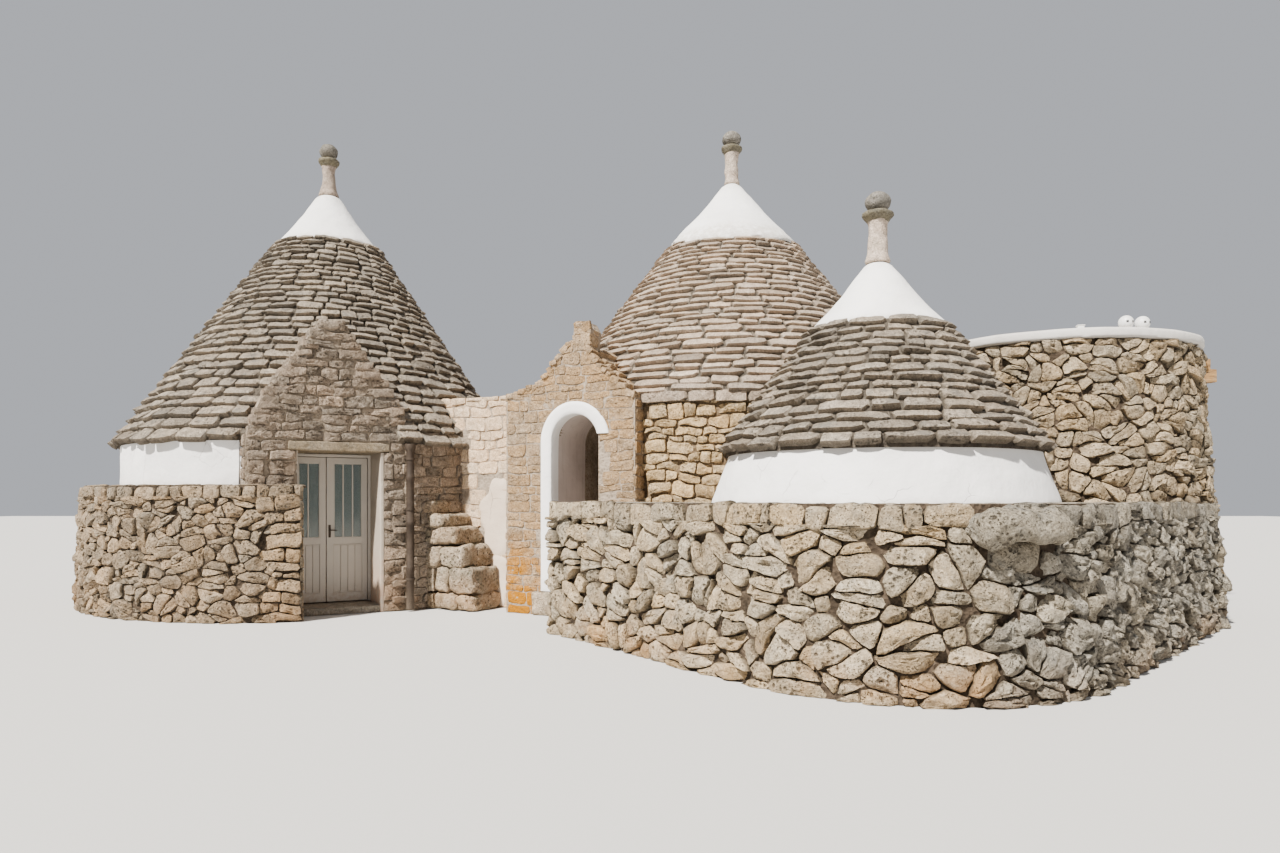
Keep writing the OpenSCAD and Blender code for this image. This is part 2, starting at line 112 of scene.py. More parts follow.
# ------------------------------------------------------------------ polygons and cells
def clip(P, a, b, d):
    out = []; n = len(P)
    for i in range(n):
        p, q = P[i], P[(i + 1) % n]
        dp = a * p[0] + b * p[1] - d; dq = a * q[0] + b * q[1] - d
        if dp <= 0:
            out.append(p)
        if (dp < 0) != (dq < 0) and dp != dq:
            t = dp / (dp - dq)
            out.append((p[0] + t * (q[0] - p[0]), p[1] + t * (q[1] - p[1])))
    return out


def area(P):
    P = np.asarray(P)
    x, y = P[:, 0], P[:, 1]
    return 0.5 * float(np.sum(x * np.roll(y, -1) - np.roll(x, -1) * y))


def clip_convex(P, C):
    """P cut to the convex outline C, given counter-clockwise."""
    for i in range(len(C)):
        a, b = C[i], C[(i + 1) % len(C)]
        nx, ny = b[1] - a[1], -(b[0] - a[0])
        P = clip(P, nx, ny, nx * a[0] + ny * a[1])
        if len(P) < 3:
            return []
    return P


def scatter(W, H, rmin, rmax, aspect, seed, dense=6.0, size=None):
    """Stone centres and half sizes: the big ones first, the small ones in what is left."""
    rs = np.random.default_rng(seed)
    Hs = H * aspect
    tries = int(W * Hs / rmin ** 2 * dense)
    N = int(W * Hs / rmin ** 2) + 10
    X, Y, R = np.zeros(N), np.zeros(N), np.zeros(N)
    n = 0
    xs, ys, us = rs.uniform(0, W, tries), rs.uniform(0, Hs, tries), rs.uniform(0.88, 1.12, tries)
    for t in range(tries):
        r = rmax * (rmin / rmax) ** min(1.0, (t / tries) ** 0.75) * us[t]
        if size is not None:
            r *= size(xs[t], ys[t] / aspect)
        if n:
            d2 = (X[:n] - xs[t]) ** 2 + (Y[:n] - ys[t]) ** 2
            if (d2 < (0.86 * (R[:n] + r)) ** 2).any():
                continue
        X[n], Y[n], R[n] = xs[t], ys[t], r
        n += 1
        if n >= N:
            break
    return X[:n], Y[:n], R[:n]


def power_cells(W, H, rmin, rmax, aspect, gap, seed, dense=6.0, relax=1, size=None):
    X, Y, R = scatter(W, H, rmin, rmax, aspect, seed, dense, size)
    for it in range(relax + 1):
        cells = []
        for i in range(len(X)):
            ext = 2.6 * rmax
            P = [(max(0, X[i] - ext), max(0, (Y[i] - ext) / aspect)), (min(W, X[i] + ext), max(0, (Y[i] - ext) / aspect)),
                 (min(W, X[i] + ext), min(H, (Y[i] + ext) / aspect)), (max(0, X[i] - ext), min(H, (Y[i] + ext) / aspect))]
            d2 = (X - X[i]) ** 2 + (Y - Y[i]) ** 2
            near = np.argsort(d2)[1:26]
            for j in near:
                if d2[j] > (R[i] + R[j] + 2.0 * rmax) ** 2:
                    break
                a, b = 2 * (X[j] - X[i]), 2 * (Y[j] - Y[i]) * aspect
                d = X[j] ** 2 + Y[j] ** 2 - R[j] ** 2 - X[i] ** 2 - Y[i] ** 2 + R[i] ** 2
                g = 0 if it < relax else gap * 0.5 * math.hypot(a, b)
                P = clip(P, a, b, d - g)
                if len(P) < 3:
                    break
            if len(P) >= 3:
                cells.append((i, P))
        if it < relax:
            for i, P in cells:
                q = np.mean(P, axis=0)
                X[i] = 0.5 * X[i] + 0.5 * q[0]; Y[i] = 0.5 * Y[i] + 0.5 * q[1] * aspect
    return [P for i, P in cells if abs(area(P)) > 0.0016]


def courses(x0, x1, z0, z1, hmin, hmax, wmin, wmax, gap, seed, wav=0.010, heights=None, ends=None):
    """Curved-sided blocks laid in rows. ends(row middle) may give the row's own x limits."""
    rs = np.random.default_rng(seed)
    zs = [z0]
    if heights is None:
        while zs[-1] < z1 - 0.55 * hmin:
            zs.append(zs[-1] + rs.uniform(hmin, hmax))
        zs = np.array(zs); zs = z0 + (zs - z0) * (z1 - z0) / (zs[-1] - z0)
    else:
        zs = np.array(heights)
    out = []
    for j in range(len(zs) - 1):
        lo, hi = (x0, x1) if ends is None else ends(0.5 * (zs[j] + zs[j + 1]))
        if hi - lo < 0.06:
            continue
        xs = [lo]
        while xs[-1] < hi - 0.7 * wmin:
            xs.append(xs[-1] + rs.uniform(wmin, wmax) * (0.75 if rs.random() < 0.25 else 1.0))
        xs = np.array(xs); xs = lo + (xs - lo) * (hi - lo) / (xs[-1] - lo)
        for k in range(len(xs) - 1):
            a = xs[k] + gap * 0.5; b = xs[k + 1] - gap * 0.5
            if b - a < 0.03:
                continue
            u = np.linspace(a, b, 5)
            w0 = wav * fbm(u * 3.1, j * 7.7, 0, seed, 2) if j > 0 else 0 * u
            w1 = wav * fbm(u * 3.1, (j + 1) * 7.7, 0, seed, 2) if j < len(zs) - 2 else 0 * u
            e0, e1 = rs.uniform(-0.3, 0.5, 2) * wav
            bot = [(p, zs[j] + q + gap * 0.5 + max(0, e0)) for p, q in zip(u, w0)]
            top = [(p, zs[j + 1] + q - gap * 0.5 - max(0, e1)) for p, q in zip(u[::-1], w1[::-1])]
            out.append(bot + top)
    return out


def split_cells(cells, gap, seed, amax=0.050, chance=0.40, flat=0.68):
    """Breaks some stones along rough beds and slanting joints, so that flat and wedge shapes turn up."""
    rs = np.random.default_rng(seed)
    out, stack = [], list(cells)
    while stack:
        P = stack.pop()
        ar = abs(area(P))
        if ar < 0.010 or (ar < amax and rs.random() > chance):
            out.append(P)
            continue
        ang = rs.normal(0, 0.30) if rs.random() < flat else rs.uniform(0.7, 2.4)
        nx, ny = -math.sin(ang), math.cos(ang)
        pr = [nx * q[0] + ny * q[1] for q in P]
        d = min(pr) + (max(pr) - min(pr)) * rs.uniform(0.28, 0.72)
        for Q in (clip(P, nx, ny, d - gap / 2), clip(P, -nx, -ny, -d - gap / 2)):
            if len(Q) >= 3 and abs(area(Q)) > 0.0020:
                (stack if abs(area(Q)) > amax else out).append(Q)
    return out


def coping_row(x0, x1, z0, z1, wmin, wmax, gap, seed, jag=0.020, double=0.22):
    """Irregular capping blocks, now and then two thin ones on top of each other."""
    rs = np.random.default_rng(seed)
    out = []; x = x0; bz = z0 + rs.uniform(-jag, jag); slant = 0.0
    while x < x1 - 0.05:
        w = min(rs.uniform(wmin, wmax) * (0.55 if rs.random() < 0.3 else 1.0), x1 - x)
        nb = z0 + rs.uniform(-1, 1) * jag; ns = rs.uniform(-0.025, 0.025)
        ta, tb = z1 + rs.uniform(-0.022, 0.006, 2)
        quad = [(x + gap / 2 + slant, bz), (x + w - gap / 2 + ns, nb), (x + w - gap / 2 - ns * 0.4, tb), (x + gap / 2 - slant * 0.4, ta)]
        if rs.random() < double and z1 - z0 > 0.10:
            m0, m1 = (bz + ta) / 2 + rs.uniform(-0.015, 0.015), (nb + tb) / 2 + rs.uniform(-0.015, 0.015)
            out.append([quad[0], quad[1], (quad[1][0], m1 - gap / 2), (quad[0][0], m0 - gap / 2)])
            out.append([(quad[0][0], m0 + gap / 2), (quad[1][0], m1 + gap / 2), quad[2], quad[3]])
        else:
            out.append(quad)
        bz, slant = nb, ns
        x += w
    return out


def outline(P, n, warp=0.0, freq=6.0, seed=0, cut=1, ratio=0.2, step=0.05):
    P = np.asarray(P, float)
    for _ in range(cut):
        Q = np.roll(P, -1, 0)
        P = np.stack([P + ratio * (Q - P), P + (1 - ratio) * (Q - P)], 1).reshape(-1, 2)
    Q = np.roll(P, -1, 0); L = np.hypot(*(Q - P).T)
    pts = []
    for i in range(len(P)):
        m = max(1, int(L[i] / step))
        pts.append(P[i] + (Q[i] - P[i]) * (np.arange(m) / m)[:, None])
    P = np.concatenate(pts)
    if warp:
        x, y = P[:, 0], P[:, 1]
        dx = fbm(x * freq, y * freq, 3.3, seed, 2) + 1.6 * vnoise(x * freq * 0.27, y * freq * 0.27, 5.0, seed) + 0.22 * vnoise(x * freq * 4, y * freq * 4, 8.0, seed)
        dy = fbm(x * freq, y * freq, 9.1, seed + 5, 2) + 1.6 * vnoise(x * freq * 0.27, y * freq * 0.27, 1.0, seed) + 0.22 * vnoise(x * freq * 4, y * freq * 4, 2.0, seed)
        P = P + warp * np.stack([dx, dy], 1)
    P = np.vstack([P, P[:1]])
    s = np.concatenate([[0], np.cumsum(np.hypot(*np.diff(P, axis=0).T))])
    u = np.linspace(0, s[-1], n, endpoint=False)
    return np.stack([np.interp(u, s, P[:, 0]), np.interp(u, s, P[:, 1])], 1)


# ring factor, relative height, face value
RUBBLE = (np.array([.97, 1.0, .965, .86, .62, .32]), np.array([0, 0, .62, .90, 1.0, 1.0]), np.array([0, .0, .6, 1, 1, 1]))
BLOCK = (np.array([.97, 1.0, .93, .66, .3]), np.array([0, 0, .80, 1.0, 1.0]), np.array([0, .0, .85, 1, 1]))
SLAB = (np.array([.97, 1.0, .90, .50]), np.array([0, 0, .85, 1.0]), np.array([0, .0, .9, 1]))


def rocks(piece, outs, mapf, H, seed=0, depth=0.05, prof=RUBBLE, facet=0.8, nf=3, amp=0.006, tilt=0.25,
          shingle=None, aux=None, flip=False, bright=(0.5, 0.16), warm=(0.5, 0.25), variant=None, keep=None, sunk=0.004):
    if not len(outs):
        return
    O = np.array(outs, float)
    rs = np.random.default_rng(seed)
    S, n, _ = O.shape
    H = np.broadcast_to(np.asarray(H, float), (S,)).copy() * rs.uniform(0.75, 1.25, S)
    tb = np.clip(rs.normal(bright[0], bright[1], S), 0, 1)
    tw = np.clip(rs.normal(warm[0], warm[1], S), 0, 1)
    tv = rs.random(S) if variant is None else np.asarray(variant)
    c = O.mean(1); L = O - c[:, None]
    R = np.sqrt((L ** 2).sum(2)).mean(1)
    f, g, e = prof; K = len(f)
    pos = c[:, None, None] + f[None, :, None, None] * L[:, None]
    x = f[None, :, None, None] * L[:, None] / R[:, None, None, None]
    h = H[:, None, None] * g[None, :, None] * np.ones((S, K, n))
    for j in range(nf):
        ph = rs.uniform(0, TAU, S)[:, None, None]
        sl = rs.uniform(0.35, 1.3, S)[:, None, None] * facet
        b = rs.uniform(0.05, 0.8, S)[:, None, None]
        pl = H[:, None, None] * (1 - sl * (x[..., 0] * np.cos(ph) + x[..., 1] * np.sin(ph) - b))
        pl = np.maximum(pl, 0.25 * H[:, None, None])
        h = np.where(g[None, :, None] > 0, np.minimum(h, pl), h)
    tx, ty = rs.uniform(-tilt, tilt, (2, S, 1, 1))
    on = (g[None, :, None] > 0)
    h = h + on * H[:, None, None] * (tx * x[..., 0] + ty * x[..., 1])
    if shingle is not None:
        sh = np.broadcast_to(np.asarray(shingle, float), (S,))[:, None, None]
        h = h - on * sh * (pos[..., 1] - c[:, None, None, 1])
    sx, sz = pos[..., 0], pos[..., 1]
    off = rs.uniform(0, 50, S)[:, None, None]
    nz = fbm(sx * 11, sz * 11, off, seed + 3, 2) + 0.55 * vnoise(sx * 31, sz * 31, off, seed + 9)
    h = h + on * amp * nz
    lat = vnoise(sx * 23, sz * 23, off + 7, seed + 21) * amp * 0.8
    pos = pos + (f > 0.97)[None, :, None, None] * np.stack([lat, -lat], -1)
    h[:, 0] = -depth; h[:, 1] = -sunk + 0.3 * amp * nz[:, 1]
    hc = h[:, -1].mean(1) + amp * 0.8 * rs.normal(0, 1, S)
    ss = np.concatenate([pos[..., 0].reshape(S, -1), c[:, :1]], 1)
    zz = np.concatenate([pos[..., 1].reshape(S, -1), c[:, 1:]], 1)
    hh = np.concatenate([h.reshape(S, -1), hc[:, None]], 1)
    if aux is None:
        W = mapf(ss, zz, hh)
    else:
        W = mapf(ss, zz, hh, np.asarray(aux, float)[:, None])
    W = np.stack(W, -1)
    ok = np.ones(S, bool)
    if keep is not None:
        ok = keep(W[:, -1, 0] + OX, W[:, -1, 1] + OY, W[:, -1, 2])
    ee = np.concatenate([np.repeat(e, n), [1.0]])
    nv = K * n + 1
    T = np.zeros((S, nv, 4)); T[..., 0] = tb[:, None]; T[..., 1] = tw[:, None]; T[..., 2] = tv[:, None]; T[..., 3] = ee[None]
    i = np.arange(n); j = (i + 1) % n
    tri = []
    for k in range(K - 1):
        a, b2, c2, d = k * n + i, k * n + j, (k + 1) * n + j, (k + 1) * n + i
        if k % 2:
            tri += [np.stack([a, b2, c2], 1), np.stack([a, c2, d], 1)]
        else:
            tri += [np.stack([a, b2, d], 1), np.stack([b2, c2, d], 1)]
    k = K - 1
    tri.append(np.stack([k * n + i, k * n + j, np.full(n, K * n)], 1))
    m = np.arange(1, n - 1)
    tri.append(np.stack([np.zeros(n - 2, int), m + 1, m], 1))
    tri = np.concatenate(tri)
    if flip:
        tri = tri[:, ::-1]
    idx = np.nonzero(ok)[0]
    W, T = W[idx], T[idx]
    S = len(idx)
    F = (tri[None] + (np.arange(S) * nv)[:, None, None]).reshape(-1, 3)
    piece.add(W.reshape(-1, 3), F, T.reshape(-1, 4))


# ------------------------------------------------------------------ surfaces that stones are laid on
def plane(o, e1, e2, nrm):
    """o, e1, e2 and nrm in site metres; o is a point on the wall, e1 and e2 run along it."""
    o, e1, e2, nrm = (np.array(v, float) for v in (o, e1, e2, nrm))
    e1 /= np.linalg.norm(e1); e2 /= np.linalg.norm(e2); nrm /= np.linalg.norm(nrm)

    def f(s, z, h, aux=None):
        return (o[0] - OX + s * e1[0] + z * e2[0] + h * nrm[0],
                o[1] - OY + s * e1[1] + z * e2[1] + h * nrm[1],
                o[2] + s * e1[2] + z * e2[2] + h * nrm[2])
    f.flip = float(np.dot(np.cross(e1, e2), nrm)) < 0
    return f


def rot(a, x, y):
    a = math.radians(a)
    return x * math.cos(a) - y * math.sin(a), x * math.sin(a) + y * math.cos(a)


class Frame2:
    """A turned plan frame: local x along a front, local y into the building."""
    def __init__(self, ox, oy, turn):
        self.o, self.t = (ox, oy), turn
        self.ex = rot(turn, 1, 0); self.ey = rot(turn, 0, 1)

    def site(self, x, y):
        return self.o[0] + x * self.ex[0] + y * self.ey[0], self.o[1] + x * self.ex[1] + y * self.ey[1]

    def local(self, X, Y):
        dx, dy = X - self.o[0], Y - self.o[1]
        return dx * self.ex[0] + dy * self.ex[1], dx * self.ey[0] + dy * self.ey[1]

    def pt(self, x, y, z):
        a, b = self.site(x, y)
        return (a, b, z)

    def part(self, x, y, z):
        a, b = self.site(x, y)
        return (a - OX, b - OY, z)

    def d3(self, x, y, z=0.0):
        return (x * self.ex[0] + y * self.ey[0], x * self.ex[1] + y * self.ey[1], z)


PORCH = Frame2(-4.1, 11.5, 30)
PORTAL = Frame2(-1.432, 11.56, -25)
LINK = Frame2(-1.72, 12.16, -28.15)
A, B, C, D = (-5.18, 14.2), (1.464, 13.64), (2.88, 10.33), (5.75, 12.0)


def round_wall(c, rz, rref, a0=0.0, slope=0.0):
    """s runs round the wall at the radius rref, from the direction a0 in radians."""
    q = math.hypot(1, slope); nr, nz = 1 / q, slope / q

    def f(s, z, h, aux=None):
        a = a0 + s / rref
        r = rz(z) + h * nr
        return c[0] - OX + r * np.cos(a), c[1] - OY + r * np.sin(a), z + h * nz
    return f


def cone_surface(c, r0, z0, r1, z1):
    L = math.hypot(r1 - r0, z1 - z0)
    nr, nz = (z1 - z0) / L, (r0 - r1) / L

    def f(s, t, h, aux):
        a = s / aux
        r = r0 + (r1 - r0) * t / L + h * nr
        return c[0] - OX + r * np.cos(a), c[1] - OY + r * np.sin(a), z0 + (z1 - z0) * t / L + h * nz
    f.L = L
    return f


# outlines of the two gabled fronts, counter-clockwise as seen from outside
PORCH_OUT = [(-1.116, 2.34), (0.928, 2.34), (0.928, 2.78), (0.08, 3.97), (-0.178, 3.97), (-0.916, 2.91)]
PORTAL_OUT = [(-0.45, 2.35), (1.51, 2.35), (1.51, 2.89), (0.95, 3.35), (0.79, 3.59), (0.56, 3.67), (0.04, 3.095), (-0.45, 3.0)]


def in_poly(P, x, z, grow=0.0):
    ok = np.ones(np.shape(x), bool)
    for i in range(len(P)):
        a, b = P[i], P[(i + 1) % len(P)]
        nx, ny = b[1] - a[1], -(b[0] - a[0])
        q = math.hypot(nx, ny)
        ok &= ((x - a[0]) * nx + (z - a[1]) * ny) / q <= grow
    return ok


def in_porch(X, Y, Z, m=0.0):
    x, y = PORCH.local(X, Y)
    return ((x > -1.116 - m) & (x < 0.928 + m) & (y > -0.6) & (y < 1.6)
            & ((Z < 2.34) | in_poly(PORCH_OUT, x, Z, m)))


def in_portal(X, Y, Z, m=0.0):
    x, y = PORTAL.local(X, Y)
    top = np.interp(x, [-0.45, 0.04, 0.56, 0.79, 0.95, 1.51], [3.0, 3.095, 3.67, 3.59, 3.35, 2.89])
    fin = (x > 0.59 - m) & (x < 0.865 + m) & (Z < 3.90 + m) & (y < 0.30 + m)
    return (x > -0.45 - m) & (x < 1.51 + m) & (y > -0.9) & (y < 1.95) & ((Z < top + m) | fin)


def cone_r(Z, r0, z0, r1, z1):
    return r0 + (r1 - r0) * (Z - z0) / (z1 - z0)


def in_a(X, Y, Z, m=0.0):
    d = np.hypot(X - A[0], Y - A[1])
    return ((Z < 2.34) & (d < 2.95 + m)) | ((Z >= 2.34) & (Z < 5.7) & (d < cone_r(Z, 2.99, 2.43, .79, 5.70) + m))


def in_b(X, Y, Z, m=0.0):
    d = np.hypot(X - B[0], Y - B[1])
    return ((Z < 2.82) & (d < 2.87 + m)) | ((Z >= 2.82) & (Z < 5.64) & (d < cone_r(Z, 2.925, 2.923, .926, 5.64) + m))


def in_c(X, Y, Z, m=0.0):
    d = np.hypot(X - C[0], Y - C[1])
    low = np.where(Z < 1.48, 1.99, 1.99 - 0.22 * (Z - 1.48) / 0.6)
    return ((Z < 2.08) & (d < low + m)) | ((Z >= 2.08) & (Z < 3.59) & (d < cone_r(Z, 1.83, 2.20, .80, 3.59) + m))


def in_d(X, Y, Z, m=0.0):
    d = np.hypot(X - D[0], Y - D[1])
    return (Z < 3.5) & (d < 2.01 - 0.26 * Z / 3.5 + m)


def d_r(z):
    return 2.01 - 0.26 * np.clip(z, 0, 3.5) / 3.5


# ------------------------------------------------------------------ materials
class NT:
    def __init__(self, name):
        self.m = bpy.data.materials.new(name)
        self.m.use_nodes = True
        self.t = self.m.node_tree
        self.t.nodes.clear()
        self.out = self.t.nodes.new("ShaderNodeOutputMaterial")
        self.bsdf = self.t.nodes.new("ShaderNodeBsdfPrincipled")
        self.t.links.new(self.bsdf.outputs[0], self.out.inputs[0])
        self.tc = self.t.nodes.new("ShaderNodeTexCoord")
        self.obj = self.tc.outputs["Object"]

    def link(self, a, b):
        if isinstance(a, (int, float)):
            b.default_value = a
        elif isinstance(a, tuple):
            b.default_value = (*a, 1.0) if len(a) == 3 and b.type == "RGBA" else a
        else:
            self.t.links.new(a, b)

    def math(self, op, a, b=0.0, clamp=False, c=None):
        n = self.t.nodes.new("ShaderNodeMath"); n.operation = op; n.use_clamp = clamp
        self.link(a, n.inputs[0]); self.link(b, n.inputs[1])
        if c is not None:
            self.link(c, n.inputs[2])
        return n.outputs[0]

    def step(self, v, lo, hi, to0=0.0, to1=1.0):
        n = self.t.nodes.new("ShaderNodeMapRange"); n.interpolation_type = "SMOOTHSTEP"
        self.link(v, n.inputs["Value"])
        n.inputs["From Min"].default_value = lo; n.inputs["From Max"].default_value = hi
        n.inputs["To Min"].default_value = to0; n.inputs["To Max"].default_value = to1
        return n.outputs[0]

    def scale3(self, v, s):
        n = self.t.nodes.new("ShaderNodeVectorMath"); n.operation = "MULTIPLY"
        self.link(v, n.inputs[0]); n.inputs[1].default_value = s
        return n.outputs[0]

    def noise(self, scale, detail=4, rough=0.55, vec=None, dist=0.0, color=False):
        n = self.t.nodes.new("ShaderNodeTexNoise")
        n.inputs["Scale"].default_value = scale; n.inputs["Detail"].default_value = detail
        n.inputs["Roughness"].default_value = rough; n.inputs["Distortion"].default_value = dist
        self.link(self.obj if vec is None else vec, n.inputs["Vector"])
        return n.outputs["Color" if color else 0]

    def voronoi(self, scale, feature="F1", vec=None, rand=1.0):
        n = self.t.nodes.new("ShaderNodeTexVoronoi"); n.feature = feature
        n.inputs["Scale"].default_value = scale; n.inputs["Randomness"].default_value = rand
        self.link(self.obj if vec is None else vec, n.inputs["Vector"])
        return n.outputs["Distance"]

    def mix(self, f, a, b, mode="MIX"):
        n = self.t.nodes.new("ShaderNodeMix"); n.data_type = "RGBA"; n.blend_type = mode
        self.link(f, n.inputs[0]); self.link(a, n.inputs[6]); self.link(b, n.inputs[7])
        return n.outputs[2]

    def attr(self):
        n = self.t.nodes.new("ShaderNodeAttribute"); n.attribute_name = "tint"
        s = self.t.nodes.new("ShaderNodeSeparateColor")
        self.t.links.new(n.outputs["Color"], s.inputs[0])
        return s.outputs[0], s.outputs[1], s.outputs[2], n.outputs["Alpha"]

    def xyz(self):
        s = self.t.nodes.new("ShaderNodeSeparateXYZ")
        self.t.links.new(self.obj, s.inputs[0])
        return s.outputs

    def normal_z(self):
        g = self.t.nodes.new("ShaderNodeNewGeometry")
        s = self.t.nodes.new("ShaderNodeSeparateXYZ")
        self.t.links.new(g.outputs["Normal"], s.inputs[0])
        return s.outputs[2]

    def bump(self, height, dist=1.0, strength=1.0):
        b = self.t.nodes.new("ShaderNodeBump")
        b.inputs["Distance"].default_value = dist; b.inputs["Strength"].default_value = strength
        self.link(height, b.inputs["Height"])
        self.t.links.new(b.outputs[0], self.bsdf.inputs["Normal"])

    def done(self, color, rough=0.9, spec=0.25):
        self.link(color, self.bsdf.inputs["Base Color"])
        self.link(rough, self.bsdf.inputs["Roughness"])
        self.bsdf.inputs["Specular IOR Level"].default_value = spec
        return self.m


# the dark grime colour serves as dirt in the pits and as painted shade on the stone sides toward the joints; edge is
# how much stone colour is kept there
def limestone(name, light, dark, warm, grime_and_shade=(0.10, 0.085, 0.065), lichen=0.35, lichen_col=(0.19, 0.185, 0.165),
              pits=0.7, stain=0.0, stain_top=0.55, bump=1.0, edge=0.35, gain=(0.62, 1.3), spot=None):
    t = NT(name)
    R, G, Bv, E = t.attr()
    big = t.noise(1.7, 3, 0.5)
    mid = t.noise(11, 5, 0.62, dist=0.6)
    fine = t.noise(55, 6, 0.68)
    grit = t.noise(170, 3, 0.6)
    col = t.mix(t.step(mid, 0.32, 0.70), dark, light)
    wm = t.math("MULTIPLY", t.math("ADD", G, t.math("MULTIPLY", t.math("SUBTRACT", big, 0.5), 1.2)), 0.75, clamp=True)
    col = t.mix(wm, col, warm)
    spots = t.noise(26, 6, 0.72, dist=0.9)
    col = t.mix(t.step(spots, 0.54, 0.70, 0.0, 0.42), col, (0.84, 0.79, 0.70))
    # pale bloom and small dark pores
    val = t.math("ADD", 0.54, t.math("MULTIPLY", R, 0.84))
    val = t.math("MULTIPLY", val, t.step(fine, 0.26, 0.70, 0.54, 1.26))
    val = t.math("MULTIPLY", val, t.step(t.noise(15, 5, 0.7, dist=0.8), 0.30, 0.66, 0.76, 1.14))
    val = t.math("MULTIPLY", val, t.step(grit, 0.2, 0.8, 0.90, 1.06))
    hsv = t.t.nodes.new("ShaderNodeHueSaturation")
    t.link(val, hsv.inputs["Value"]); t.link(col, hsv.inputs["Color"])
    col = hsv.outputs[0]
    bent = t.mix(0.055, t.obj, t.noise(21, 4, 0.65, color=True), mode="ADD")
    pv = t.voronoi(46, "F1", vec=bent)
    pmask = t.math("MULTIPLY", t.step(pv, 0.08, 0.36, 1.0, 0.0), t.step(t.noise(8, 4, 0.65), 0.44, 0.56))
    hv = t.voronoi(20, "F1", vec=bent)
    cl = t.math("MULTIPLY", t.step(t.noise(5.5, 4, 0.6), 0.43, 0.55), t.step(Bv, 0.12, 0.60))
    hmask = t.math("MULTIPLY", t.step(hv, 0.12, 0.40, 1.0, 0.0), cl)
    pit = t.math("MULTIPLY", t.math("MAXIMUM", pmask, hmask), pits, clamp=True)
    col = t.mix(t.math("MULTIPLY", pit, 0.96), col, grime_and_shade)
    if lichen:
        lm = t.math("MULTIPLY", t.step(t.noise(5.2, 7, 0.70, dist=0.5), 0.50, 0.64), lichen)
        up = t.step(t.normal_z(), -0.2, 0.9, 0.6, 1.35)
        col = t.mix(t.math("MULTIPLY", lm, up, clamp=True), col, lichen_col)
    z = t.xyz()[2]
    if stain:
        sm = t.math("MULTIPLY", t.step(z, 0.05, stain_top, 1.0, 0.0), t.step(t.noise(1.15, 5, 0.62), 0.42, 0.66))
        col = t.mix(t.math("MULTIPLY", sm, stain, clamp=True), col, (0.50, 0.29, 0.165))
        dm = t.math("MULTIPLY", t.step(z, 0.0, 0.16, 0.55, 0.0), t.step(t.noise(6, 4, 0.6), 0.3, 0.7))
        col = t.mix(dm, col, (0.17, 0.13, 0.085))
    if spot is not None:                       # a rusty stain low on one pier
        x, y, _ = t.xyz()
        dx = t.math("SUBTRACT", x, spot[0]); dy = t.math("SUBTRACT", y, spot[1])
        dd = t.math("SQRT", t.math("ADD", t.math("MULTIPLY", dx, dx), t.math("MULTIPLY", dy, dy)))
        sp = t.math("MULTIPLY", t.step(dd, spot[2] * 0.3, spot[2], 1.0, 0.0), t.step(z, spot[3] * 0.25, spot[3], 1.0, 0.0))
        sp = t.math("MULTIPLY", sp, t.step(t.noise(3.2, 6, 0.65), 0.36, 0.58))
        col = t.mix(t.math("MULTIPLY", sp, 0.62, clamp=True), col, (0.58, 0.335, 0.19))
    # painted shade: stone sides running down into the joints (tint alpha near 0) are darkened, standing in for the
    # shade in the crevices between stones
    col = t.mix(t.step(E, 0.0, 0.75, edge, 1.0), grime_and_shade, col)
    tone = t.t.nodes.new("ShaderNodeHueSaturation")
    tone.inputs["Saturation"].default_value = gain[1]; tone.inputs["Value"].default_value = gain[0]
    t.link(col, tone.inputs["Color"])
    col = tone.outputs[0]
    hgt = t.math("MULTIPLY", mid, 0.020 * bump)
    hgt = t.math("ADD", hgt, t.math("MULTIPLY", spots, 0.010 * bump))
    hgt = t.math("ADD", hgt, t.math("MULTIPLY", fine, 0.010 * bump))
    hgt = t.math("ADD", hgt, t.math("MULTIPLY", grit, 0.0016 * bump))
    hgt = t.math("SUBTRACT", hgt, t.math("MULTIPLY", pit, 0.030 * bump))
    t.bump(hgt)
    return t.done(col, t.step(fine, 0.2, 0.8, 0.82, 0.97), 0.2)


def joint_fill(name, a, b, bump=1.0):
    """Earth, rubble packing and old lime seen deep between the stones."""
    t = NT(name)
    n1 = t.noise(7, 5, 0.65); n2 = t.noise(60, 5, 0.7); v = t.voronoi(24)
    col = t.mix(t.step(n1, 0.35, 0.68), a, b)
    col = t.mix(t.step(v, 0.05, 0.45, 0.55, 0.0), col, tuple(x * 0.35 for x in a))
    hgt = t.math("ADD", t.math("MULTIPLY", n1, 0.02 * bump), t.math("MULTIPLY", n2, 0.008 * bump))
    hgt = t.math("ADD", hgt, t.math("MULTIPLY", v, 0.02 * bump))
    t.bump(hgt)
    return t.done(col, 0.95, 0.1)


